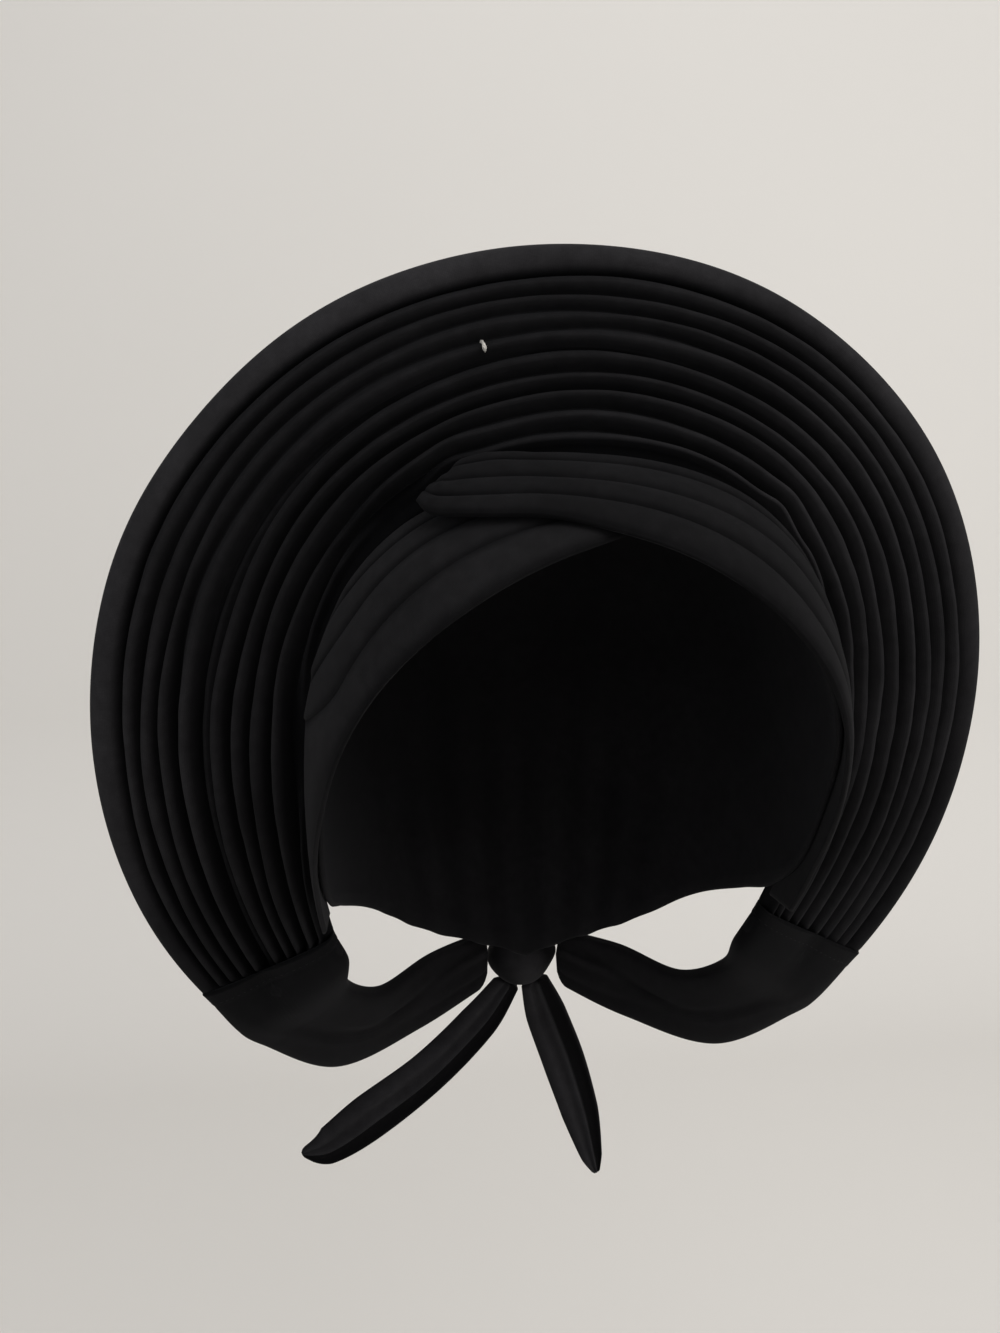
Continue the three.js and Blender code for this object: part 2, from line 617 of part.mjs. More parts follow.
const headTie = new THREE.Group();
headTie.add(
  crownCap(clothBlack("cap cloth", 0x17171a, 0.9)),
  pleatedFan(clothBlack("fan cloth", 0x1c1c1f, 0.85)),
  frontBand("front_band_right", UNDER_BAND, UNDER_FOLDS, -1, clothBlack("right band cloth", 0x1a1a1d, 0.85)),
  frontBand("front_band_left", OVER_BAND, OVER_FOLDS, 1, clothBlack("left band cloth", 0x1a1a1d, 0.85)),
  endCover("end_cover_right", -1, clothBlack("right cover cloth", 0x131316, 0.9)),
  endCover("end_cover_left", 1, clothBlack("left cover cloth", 0x131316, 0.9)),
  tieKnot(clothBlack("knot cloth", 0x18181b, 0.85)),
  tieEnd("tie_end_right", RIGHT_TIE_END, clothBlack("right tie cloth", 0x1e1e21, 0.8)),
  tieEnd("tie_end_left", LEFT_TIE_END, clothBlack("left tie cloth", 0x1e1e21, 0.8)),
);

export default headTie;
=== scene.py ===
"""A tied gele head tie in black crepe, dressed on its CAD frame.

Sizes are worked out in millimetres and angles in degrees, in the frame of the CAD part: +X is its left
side as worn, +Y its back and +Z up, with the origin inside the cap at the crown. Meshes are in metres.
"""

import math

import bpy
import numpy as np
from mathutils import Matrix, Vector


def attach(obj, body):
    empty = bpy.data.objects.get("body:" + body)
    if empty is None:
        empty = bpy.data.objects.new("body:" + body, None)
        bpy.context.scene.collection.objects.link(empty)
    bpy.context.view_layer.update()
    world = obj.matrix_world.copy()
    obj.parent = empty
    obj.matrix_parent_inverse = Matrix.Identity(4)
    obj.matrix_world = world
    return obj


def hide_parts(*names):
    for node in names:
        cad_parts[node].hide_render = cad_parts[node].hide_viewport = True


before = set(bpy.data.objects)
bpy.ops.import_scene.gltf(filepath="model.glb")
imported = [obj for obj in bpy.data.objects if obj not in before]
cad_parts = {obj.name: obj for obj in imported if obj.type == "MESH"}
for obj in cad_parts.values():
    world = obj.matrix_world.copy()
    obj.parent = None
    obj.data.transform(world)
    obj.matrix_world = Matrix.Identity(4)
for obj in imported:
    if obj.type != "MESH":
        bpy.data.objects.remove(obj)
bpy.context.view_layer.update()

# Camera, from the photograph's viewing angle

CAMERA_PLACE = (-0.05632, -0.32149, 0.01358)
CAMERA_FORWARD = (0.1116, 0.9697, -0.2175)
CAMERA_UP = (0.0213, 0.2164, 0.9761)
FOCAL_PIXELS = 1100
PICTURE_HEIGHT = 1333
SENSOR = 36


def new_object(name, data):
    """A new object in the scene, made of its data."""
    made = bpy.data.objects.new(name, data)
    bpy.context.scene.collection.objects.link(made)
    return made


def make_camera():
    """Camera at the photograph's place; its lens is the focal length in pixels over the picture's height."""
    data = bpy.data.cameras.new("camera")
    data.sensor_width = SENSOR
    data.lens = SENSOR * FOCAL_PIXELS / PICTURE_HEIGHT
    data.clip_start, data.clip_end = 0.01, 30
    camera = new_object("camera", data)
    forward = Vector(CAMERA_FORWARD).normalized()
    right = forward.cross(Vector(CAMERA_UP)).normalized()
    up = right.cross(forward)
    turn = Matrix((right, up, -forward)).transposed()
    camera.matrix_world = Matrix.Translation(CAMERA_PLACE) @ turn.to_4x4()
    bpy.context.scene.camera = camera


# Sizes of the head tie

MM = 0.001
EDGE_REACH = 0.5

# Form of the hollow: half width and depth, height above and drop below its middle, and the power that squares it
HOLLOW_HALF_WIDTH = 74
HOLLOW_HALF_DEPTH = 95
HOLLOW_HEIGHT = 83
HOLLOW_DROP = 150
HOLLOW_POWER = 2.3

CAP_WALL = 1.5
BAND_WALL = 1.6
COVER_WALL = 1.5
PLEAT_WALL = 1.5

# The fan's rim is an oval, leaned back
RIM_HALF_WIDTH = 147.4
RIM_HALF_HEIGHT = 159.8
RIM_POWER = 2.04
RIM_BACK = 22.3
RIM_LEVEL = -94.2
RIM_TILT = 12.5

FAN_FIRST_ANGLE = -41.2
FAN_LAST_ANGLE = 221.2
FAN_STATIONS = 385
FAN_RADIUS = 130
ROUNDING = 7
PLEAT_DEPTH = 7
PLEAT_DEPTH_AT_ENDS = 5
PLEAT_POINTS = 10
PLEAT_SWAY = 0.3
FINE_WRINKLE = 0.07
REAR_SPREAD = 0.22
END_FLATTENING = 30
# Shares of their depth that the pleats lose over the crown and down the left side
TOP_FLATTENING = 0.42
SIDE_FLATTENING = 0.45
RIM_ROLL_DEPTH = 9
ROLL_POINTS = 11
# Shares across a pleat at which the first one's cloth starts and the last one turns over into the rim
FIRST_PLEAT_START = 0.1
ROLL_START = 0.6
FOOT_SET_BACK = 2.6
FOOT_THICKNESS = 2.1
FOOT_POINTS = 3
# Painted shade on the fan's foot where it meets the cap: near black
FOOT_PAINTED_SHADE = 0.02
# How far the fan's ends and their foot are drawn in inside the end covers
TUCK_ACROSS = 2.7
TUCK_OFF = 2.1
FOOT_TUCK = 3.5

# Root of the fan on the cap. Columns: angle round the rim, root's own angle, distance behind the crown, and how
# far the first ridge and the fan's underside stand off the hollow's form
FAN_ROOT = np.array([
    [-42, -52, 25, 9, 6],
    [-33, -41, 16, 8.5, 5.5],
    [-20, -24, -2, 7, 2.6],
    [0, 0, -19, 6, 2.5],
    [30, 30, -25, 7, 2.5],
    [60, 60, -27, 8.5, 2.5],
    [90, 90, -28, 9, 2.5],
    [120, 120, -27, 8, 2.5],
    [150, 150, -24, 6, 2.5],
    [180, 180, -19, 6, 2.5],
    [200, 204, -2, 7, 2.6],
    [213, 221, 16, 8.5, 5.5],
    [222, 232, 25, 9, 6],
])

# Widths of the pleats round the fan. Columns: angle, the pleats from root to rim as shares of the fan's width,
# and how far the narrow one, which lies between the fifth and the sixth, is sunk
PLEAT_WIDTHS = np.array([
    [20, 9, 13.5, 15.5, 18, 18, 3, 17, 16.5, 18, 18.5, 25, 7],
    [45, 14, 21, 19.5, 18.5, 18, 3, 19.5, 16.5, 18, 19.5, 24, 7],
    [75, 19, 22, 18, 19, 17.5, 3, 20, 17, 16.5, 21, 27, 7],
    [90, 23, 20.7, 17.5, 18, 19.2, 3, 18.1, 17.2, 14.1, 20.4, 29.5, 7],
    [110, 17, 19, 18, 19, 19, 3, 20, 19.5, 17, 17, 33, 7],
    [155, 16, 16, 18.5, 18, 19, 12, 24, 16.5, 20, 22.5, 29.5, 3.5],
    [180, 14, 21, 19, 21, 19, 10, 26, 15, 19, 22, 33, 3],
    [200, 10.5, 20, 17.5, 17, 20.5, 11.5, 22, 20.5, 18, 21.5, 25.5, 4],
])
NARROW = 5
RIM = 10
# Ridges of the pleats from root to rim: lean towards the rim, sharpness of the fall to the valley, and painted light,
# most on the rim's and least, as painted shade, on the sunk narrow pleat's
RIDGE_LEAN = np.array([0.02, 0.05, -0.03, 0.04, 0, 0, 0.06, 0.02, -0.02, 0.05, 0])
RIDGE_FALL = np.array([1.5, 1.7, 1.5, 1.8, 1.6, 1.4, 1.6, 1.7, 1.6, 1.5, 0.6])
RIDGE_PAINTED_LIGHT = np.array([0.9, 0.97, 1, 0.97, 1, 0.65, 1, 0.97, 1.03, 1.06, 1.5])

# Painted light and shade round the fan: lighter where light falls on it and darker where it lies in shade, such as
# its
# lower ends. Columns: angle, painted light of the rim, of the ridges of the outer and of the inner pleats, half width
# of a ridge's painted lighter part as a share of its pleat, and how far ridge and valley are evened out
FAN_PAINTED_LIGHT = np.array([
    [-42, 0.28, 0.42, 0.36, 0.25, 0.5],
    [-20, 0.22, 0.46, 0.38, 0.28, 0.5],
    [-8, 0.21, 0.51, 0.49, 0.29, 0.35],
    [5, 0.4, 0.62, 0.66, 0.3, 0.25],
    [25, 0.7, 0.66, 0.7, 0.3, 0.2],
    [48, 0.94, 1.08, 1.02, 0.3, 0.42],
    [70, 0.84, 0.76, 0.72, 0.25, 0.72],
    [90, 1, 0.54, 0.53, 0.21, 0.72],
    [110, 0.98, 0.49, 0.49, 0.2, 0.68],
    [130, 0.9, 0.47, 0.42, 0.2, 0.6],
    [150, 0.82, 0.45, 0.4, 0.2, 0.48],
    [165, 0.8, 0.66, 0.5, 0.2, 0.1],
    [180, 0.8, 0.82, 0.56, 0.19, 0],
    [190, 0.72, 0.8, 0.5, 0.18, 0],
    [197, 0.58, 0.66, 0.48, 0.17, 0],
    [204, 0.3, 0.44, 0.42, 0.17, 0],
    [222, 0.29, 0.37, 0.38, 0.17, 0],
])
# Painted light and shade that ridge and valley are evened out to
EVEN_PAINTED_LIGHT = 0.43

# Places where a pleat is pushed out of line. Columns: pleat, angle, half length in degrees, shift across
# towards the rim, rise off the pleat
KINKS = np.array([
    [0, 113, 3.5, 1.5, 0.5],
    [1, 111, 4.5, 1, 0.3],
    [2, 108, 6, 0.5, 0],
    [0, 53, 3, 1.3, 0.5],
    [1, 52, 4, 0.8, 0.2],
    [0, 46, 2.5, -0.6, 0.4],
    [1, 160, 9, 0.4, 0],
    [3, 140, 10, 0.5, -0.3],
    [4, 130, 10, -0.5, 0.3],
    [2, 205, 7, 0.4, 0.3],
])

# Places where a pleat lies deep between its neighbours, its painted light cut down there by the share sunk as painted
# shade.
# Columns: pleat, angle, half length in degrees, share sunk
SUNK_PLACES = np.array([
    [0, 178, 26, 0.95],
    [0, 24, 10, 0.7],
    [0, 125, 13, 0.95],
    [1, 131, 7, 0.5],
])

# White tack on the fan: its angle, and the points of the pleats' section that it lies over
TACK_ANGLE = 102.3
TACK_FROM, TACK_TO = 58, 65
TACK_RADIUS = 0.6
TACK_DIP = 0.3

# Front bands, which start alike. Columns: low bearing, low rise, high bearing, high rise, low lift, high lift
BAND_START = [
    [84, -37, 97, -38, 2.4, 2.4],
    [75, -25, 88, -23, 2.4, 2.4],
    [65, -12, 80, -7, 2.4, 2.4],
    [57, -1, 74.5, 6, 2.4, 2.4],
]
UNDER_BAND = np.array(BAND_START + [
    [49.5, 10, 72.5, 17, 2.4, 2.4],
    [42, 19.5, 70.5, 28, 2.4, 2.4],
    [33, 28.5, 67.3, 39, 2.4, 2.4],
    [22.5, 36.5, 59.5, 49.5, 2.4, 2.6],
    [11, 42.8, 44, 57.5, 2.4, 2.8],
    [-2, 47.5, 24, 60, 2.4, 2.8],
    [-15, 51.5, 0, 64, 2.4, 2.8],
])
OVER_BAND = np.array(BAND_START + [
    [49.5, 10, 72, 17, 2.4, 2.4],
    [42, 19.5, 69.5, 29, 2.5, 3.4],
    [33, 28.5, 64.5, 41, 3, 4.6],
    [22.5, 36.5, 54, 53, 4.4, 5.6],
    [11.5, 42.6, 33, 64, 5.4, 6.2],
    [0, 46.8, 4, 70, 5.6, 6.4],
    [-13, 49.4, -24, 67.5, 6, 8],
    [-27, 49.2, -38, 65.5, 6.8, 9.3],
    [-41, 49.4, -46, 62.8, 8, 9.7],
    [-48.5, 51.8, -47.3, 60.4, 9.4, 9.8],
])
UNDER_FOLDS = (0.31, 0.28, 0.22, 0.19)
OVER_FOLDS = (0.25, 0.27, 0.3, 0.18)
# Shares of the under band's length between which each crease comes in over the high edge, from the lowest crease
UNDER_LEAVES = ((0.345, 0.49), (0.42, 0.58), (0.53, 0.70))
BAND_STATIONS = 220
FOLD_POINTS = 22
FOLD_SWELL = 0.75
FOLD_CREASE = 0.35
FOLD_SWAY = 0.012
BAND_WRINKLE = 0.12

# Lower edge of the cap. Columns: bearing from straight ahead, rise
CAP_EDGE = np.array([
    [0, 54], [20, 45], [40, 28], [55, 9], [67, -7], [80, -26],
    [95, -36], [110, -40], [130, -44], [150, -50], [180, -56],
])
CAP_COLUMNS = 361
CAP_ROWS = 90
GATHERS = 34
GATHER_HEIGHT = 0.75

# End covers, given for the left one. Columns: low edge x, y, z, high edge x, y, z, thickness
COVER_SECTIONS = np.array([
    [101, 51, -209, 68, 40, -182, 9.5],
    [76, 63, -228, 56, 56, -193, 8],
    [43, 79, -224, 37, 74, -190, 7],
    [14, 87.5, -211, 14, 86, -187, 7],
])
MOUTH_ANGLE_RIGHT = 35.5
MOUTH_ANGLE_LEFT = 33.9
COVER_POCKET_ANGLE = 43
COVER_CLEAR = 1.2
COVER_ROWS = 150
COVER_COLUMNS = 181
COVER_LENGTH = 140
COVER_GIRTH = 170
MOUTH_DRAWN_IN = 2.2
# Shares of a cover's length at its seam and at the bottom of its pocket
COVER_SEAM = 0.062
COVER_POCKET = 0.2
STITCH_LENGTH = 1.6
STITCH_GAP = 1.4
STITCH_THICK = 0.22

# Soft folds of an end cover. Columns: place across at the mouth, slope, curve, half width, height
COVER_FOLDS = np.array([
    [0.55, -1.5, 0.4, 0.16, -0.9],
    [0.15, -1.1, 0.5, 0.1, -0.55],
    [0.85, -1.3, 0.1, 0.1, 0.6],
    [-0.35, -0.4, 0.6, 0.12, -0.4],
])

KNOT_CENTRE = (0, 89, -199)
KNOT_HALF_WIDTH = 13.1
KNOT_HALF_DEPTH = 9
KNOT_HALF_HEIGHT = 13.5

# Tie ends, from the knot to the tip. Columns: x, y, z, width, thickness
RIGHT_TIE_END = np.array([
    [-5, 90.5, -211.5, 11, 5],
    [-17, 95, -232, 17, 5.5],
    [-38, 95, -254, 19, 5.5],
    [-62, 90, -269.3, 21, 6],
    [-81, 83.5, -278, 17, 5],
    [-91, 80, -278, 3, 2.5],
])
LEFT_TIE_END = np.array([
    [5.5, 90.5, -211.5, 11, 5],
    [12, 97, -232, 17, 5.5],
    [20, 99, -255, 18, 5.5],
    [27, 95, -278, 16, 5],
    [32, 91, -298, 9, 4],
    [34, 90, -305, 3, 2.5],
])
# Section of a tie end, in shares of its width and thickness: rolled folds on both faces, and on the front a deep
# fold along the low edge
TIE_END_SECTION = np.array([
    [-0.5, 0], [-0.34, 0.3], [-0.16, 0.16], [0, 0.42], [0.2, 0.3], [0.36, 0.5], [0.5, 0.3],
    [0.46, -0.24], [0.32, -0.12], [0.17, -0.22], [0.08, -0.62], [-0.08, -0.36], [-0.24, -0.6], [-0.4, -0.34],
])
TIE_STATIONS = 110
TIE_POINTS = 105
TIE_LENGTH = 120
TIE_GIRTH = 45

# Curves and surfaces


def ease(value, low, high):
    """0 up to low, 1 from high, and a smooth cubic step between them."""
    t = np.clip((value - low) / (high - low), 0, 1)
    return t * t * (3 - 2 * t)


def mix(a, b, t):
    """The point or value at share t of the way from a to b."""
    return a + (b - a) * t


def hump(value, centre, half):
    """Soft bump: 1 at the centre and falling as a bell to near 0 at twice its half width."""
    return np.exp(-((value - centre) / half) ** 2)


def rounded_end(t, start, reach):
    """1 up to the start, and from there a quarter circle down to 0 over the reach."""
    return np.sqrt(np.clip(1 - ((t - start) / reach).clip(0) ** 2, 0, 1))


def table_curve(table, column, at):
    """Smooth curve through a column of a table, over its first column: a cubic on each span, whose slope at a row
    is that of its neighbours."""
    keys, values = table[:, 0], table[:, column]
    at = np.clip(np.asarray(at, float), keys[0], keys[-1])
    row = np.arange(len(keys))
    before, after = np.maximum(row - 1, 0), np.minimum(row + 1, len(keys) - 1)
    slope = (values[after] - values[before]) / (keys[after] - keys[before])
    i = np.clip(np.searchsorted(keys, at, side="right") - 1, 0, len(keys) - 2)
    span = keys[i + 1] - keys[i]
    t = (at - keys[i]) / span
    start = (2 * t**3 - 3 * t**2 + 1) * values[i] + (t**3 - 2 * t**2 + t) * span * slope[i]
    return start + (3 * t**2 - 2 * t**3) * values[i + 1] + (t**3 - t**2) * span * slope[i + 1]


def rounded_curves(table, columns, at):
    """Curves through columns of a table, each averaged over ROUNDING on either side, to soften it at each row."""
    places = [np.asarray(at, float) + step for step in np.linspace(-ROUNDING, ROUNDING, 9)]
    return [sum(table_curve(table, column, place) for place in places) / len(places) for column in columns]


def strand(points, t):
    """Smooth line through points at shares t of its rows: a cubic on each span, whose end slopes weigh the spans
    beside it by the square root of their lengths."""
    points = np.asarray(points, float)
    ends = np.vstack([2 * points[0] - points[1], points, 2 * points[-1] - points[-2]])
    place = np.clip(np.asarray(t, float), 0, 1) * (len(points) - 1)
    i = np.minimum(place.astype(int), len(points) - 2)
    w = (place - i)[..., None]
    a, b, c, d = (ends[i + k] for k in range(4))
    gaps = np.sqrt(np.maximum(np.linalg.norm(np.diff(ends, axis=0), axis=1), 1e-6))
    ab, bc, cd = (gaps[i + k][..., None] for k in range(3))
    leave = ((b - a) / ab - (c - a) / (ab + bc) + (c - b) / bc) * bc
    arrive = ((c - b) / bc - (d - b) / (bc + cd) + (d - c) / cd) * bc
    return (
        (2 * w**3 - 3 * w**2 + 1) * b + (w**3 - 2 * w**2 + w) * leave
        + (3 * w**2 - 2 * w**3) * c + (w**3 - w**2) * arrive
    )


def laid_out(centre, u, across, v, off):
    """Points at u across and v off each centre, along its own directions."""
    return centre[:, None] + u[..., None] * across[:, None] + v[..., None] * off[:, None]


def signed_power(value, power):
    """The value's size to a power, with its own sign."""
    return np.sign(value) * np.abs(value) ** power


def lengths_along(line):
    """Length along a line of points at each of them."""
    return np.concatenate([[0], np.cumsum(np.linalg.norm(np.diff(line, axis=0), axis=1))])


def unit(vectors):
    """The vectors at length 1."""
    return vectors / np.maximum(np.linalg.norm(vectors, axis=-1, keepdims=True), 1e-9)


def wander(seed, *places):
    """Soft uneven swell between about -1 and 1: a sum of six sine waves over the places, whose pitches and
    phases come from the seed. A place of 1 is about a sixth of a wave."""
    numbers = np.random.default_rng(seed)
    total = 0.0
    for _ in range(6):
        turn = numbers.uniform(0, 2 * math.pi)
        for place in places:
            turn = turn + place * numbers.uniform(0.5, 1.7) * numbers.choice((-1, 1))
        total = total + np.sin(turn)
    return total / 2.6


def quads(first, second):
    """Quads between two rows of point numbers of the same length."""
    return np.stack([first[:-1], first[1:], second[1:], second[:-1]], axis=1)


def grid_faces(rows, columns):
    """Point numbers of a grid, and its quads."""
    index = np.arange(rows * columns).reshape(rows, columns)
    faces = np.stack([index[:-1, :-1], index[:-1, 1:], index[1:, 1:], index[1:, :-1]], axis=-1)
    return index, faces.reshape(-1, 4)


def grid_uv(across, down):
    """UV of a grid's points: the lengths across and down it."""
    return np.stack(np.broadcast_arrays(across[None, :], down[:, None]), axis=-1).reshape(-1, 2)


def new_surface(name, points, faces, material):
    """A smooth surface in the scene, from points in metres."""
    mesh = bpy.data.meshes.new(name)
    mesh.from_pydata(points.tolist(), [], faces.tolist())
    mesh.polygons.foreach_set("use_smooth", np.ones(len(faces), bool))
    mesh.materials.append(material)
    return new_object(name, mesh)


def make_object(name, vertices, faces, material, uv=None, fold=None):
    """Mesh object in metres from millimetre points, with a UV and a fold mark for each point, which is painted light
    and
    shade: 1 for painted light on ridges and 0 for painted shade in creases. Points that coincide are welded, and the
    faces are turned to give a positive volume."""
    a, b, c, d = (vertices[faces[:, k]] for k in range(4))
    volume = np.einsum("ij,ij->i", a, np.cross(b, c)) + np.einsum("ij,ij->i", a, np.cross(c, d))
    if volume.sum() < 0:
        faces = faces[:, ::-1]
    corner_uv = np.zeros((len(faces), 4, 2)) if uv is None else uv[faces] * MM
    piece = new_surface(name, vertices * MM, faces, material)
    piece.data.uv_layers.new(name="UVMap").data.foreach_set("uv", corner_uv.astype(np.float32).ravel())
    if fold is not None:
        piece.data.attributes.new("fold", "FLOAT", "POINT").data.foreach_set("value", fold.astype(np.float32))
    piece.modifiers.new("weld", "WELD").merge_threshold = 1e-6
    bpy.context.view_layer.objects.active = piece
    bpy.ops.object.modifier_apply(modifier="weld")
    return piece


def skin(name, points, across, down, material, fold):
    """Closed surface from one grid of points: its first and last column are one, and so is each end row."""
    faces = grid_faces(*points.shape[:2])[1]
    return make_object(name, points.reshape(-1, 3), faces, material, grid_uv(across, down), fold.ravel())


def cloth(name, front, rear, material, fold, closed=False, lengths=None, edge_share=0.45):
    """Cloth with a thickness: front and rear are grids of points of one size, joined all round by a rounded edge
    that stands out by a share of the wall and no more than EDGE_REACH. With closed, the first and last column are
    one and the last row is one point. The UV is the lengths across and down, or else those of the middle row and
    column."""
    rows, columns = front.shape[:2]
    index, grid = grid_faces(rows, columns)
    count = index.size
    rim = index[0] if closed else np.concatenate([index[0], index[1:, -1], index[-1, -2::-1], index[-2::-1, 0]])
    row, column = rim // columns, rim % columns
    inside = np.clip(row, 1, rows - 2) * columns + (column if closed else np.clip(column, 1, columns - 2))
    uv = grid_uv(*(lengths or (lengths_along(front[rows // 2]), lengths_along(front[:, columns // 2]))))
    front, rear, fold = front.reshape(-1, 3), rear.reshape(-1, 3), fold.ravel()
    wall = np.linalg.norm(front[rim] - rear[rim], axis=1, keepdims=True)
    edge = (front[rim] + rear[rim]) / 2 + unit(front[rim] - front[inside]) * np.minimum(edge_share * wall, EDGE_REACH)
    middle = 2 * count + np.arange(len(rim))
    faces = np.concatenate([
        grid, (grid + count)[:, ::-1], quads(rim, middle)[:, ::-1], quads(middle, rim + count)[:, ::-1],
    ])
    points = np.concatenate([front, rear, edge])
    return make_object(name, points, faces, material, *(np.concatenate([v, v, v[rim]]) for v in (uv, fold)))


# The form of the hollow inside the head tie


def direction(bearing, rise):
    """Unit vector at a bearing from straight ahead and a rise."""
    b, r = np.radians(bearing), np.radians(rise)
    return np.stack([np.sin(b) * np.cos(r), -np.cos(b) * np.cos(r), np.sin(r)], axis=-1)


def on_hollow(towards, lift):
    """Point on the hollow's form in a direction, lift above it: the form is |x/a|^p + |y/b|^p + |z/c|^p = 1 with
    every half size grown by the lift, and c is larger below its middle than above."""
    d = unit(towards)
    below = np.where(d[..., 2] < 0, HOLLOW_DROP, HOLLOW_HEIGHT)
    halves = (HOLLOW_HALF_WIDTH, HOLLOW_HALF_DEPTH, below)
    reach = sum(np.abs(d[..., k] / (half + lift)) ** HOLLOW_POWER for k, half in enumerate(halves))
    point = d * (reach ** (-1 / HOLLOW_POWER))[..., None]
    point[..., 2] -= HOLLOW_HEIGHT
    return point


def across_hollow(angle, back, lift):
    """Point on the hollow's form in the cross plane y = back, at an angle from the left side, lift above it."""
    c, s = np.cos(np.radians(angle)), np.sin(np.radians(angle))
    drop = np.where(s < 0, HOLLOW_DROP, HOLLOW_HEIGHT)
    level = 1 - np.abs(back / (HOLLOW_HALF_DEPTH + lift)) ** HOLLOW_POWER
    reach = np.abs(c / (HOLLOW_HALF_WIDTH + lift)) ** HOLLOW_POWER + np.abs(s / (drop + lift)) ** HOLLOW_POWER
    r = (level / reach) ** (1 / HOLLOW_POWER)
    return np.stack([r * c, back + 0 * r, r * s - HOLLOW_HEIGHT], axis=-1)


# Fan


def fan_frame(angle):
    """Root, unit directions outward (root to rim) and forward (off the pleats), and width of the fan's section."""

    def ends(a):
        """Root and rim at an angle. The rim is |x/w|^p + |z/h|^p = 1 in its own plane, which leans back."""
        turn, back, lift = rounded_curves(FAN_ROOT, (1, 2, 3), a)
        c, s = np.cos(np.radians(a)), np.sin(np.radians(a))
        over = RIM_HALF_WIDTH * signed_power(c, 2 / RIM_POWER)
        up = RIM_HALF_HEIGHT * signed_power(s, 2 / RIM_POWER)
        tilt = math.radians(RIM_TILT)
        rim = np.stack([over, RIM_BACK - up * math.sin(tilt), RIM_LEVEL + up * math.cos(tilt)], axis=-1)
        return across_hollow(turn, back, lift), rim

    root, rim = ends(angle)
    round_way = np.subtract(sum(ends(angle + 0.5)), sum(ends(angle - 0.5)))
    outward = unit(rim - root)
    return root, outward, unit(np.cross(outward, round_way)), np.linalg.norm(rim - root, axis=-1)


def pleat_points():
    """The pleat of each point across the fan's section, and the point's share of the way across that pleat."""
    x = (1 - np.cos(np.linspace(0, math.pi, PLEAT_POINTS + 1)[:-1])) / 2
    number, x = np.repeat(np.arange(RIM + 1), PLEAT_POINTS), np.tile(x, RIM + 1)
    keep = ((number > 0) | (x > FIRST_PLEAT_START)) & ((number < RIM) | (x < ROLL_START))
    keep &= (number != NARROW) | (np.arange(len(x)) % 2 == 0)
    return number[keep], x[keep]


def fan_marks(angle, number, x, stand):
    """Fold mark of each point of the fan, painted light and shade: a painted bell of light on each ridge with the
    rest of the pleat in painted shade, lighter and darker round the fan as the table gives its painted light, evened
    out with its valley where the table says so, the rim's painted light, and painted shade at the foot and where a
    pleat is sunk."""
    rim_painted_light, outer_painted_light, inner_painted_light, light, evened = (
        table_curve(FAN_PAINTED_LIGHT, k, angle)[:, None] for k in range(1, 6)
    )
    # Painted light: a bell a little to the root side of each ridge, so that the valleys fall to painted shade
    tone = hump(x, 0.41 + 0.14 * (number == 0), light) * stand * RIDGE_PAINTED_LIGHT[number]
    tone = tone * mix(inner_painted_light, outer_painted_light, ease(number + x, 3, 6.5))
    tone = mix(tone, EVEN_PAINTED_LIGHT * stand, evened * ((number < RIM) & (number > 0)))
    tone = np.minimum(mix(tone, rim_painted_light, (number == RIM) * ease(x, 0, 0.22)), 1)
    # Painted shade at the foot
    foot = np.full((len(angle), FOOT_POINTS), FOOT_PAINTED_SHADE)
    return np.concatenate([foot, tone, rim_painted_light + np.zeros((1, ROLL_POINTS))], axis=1)


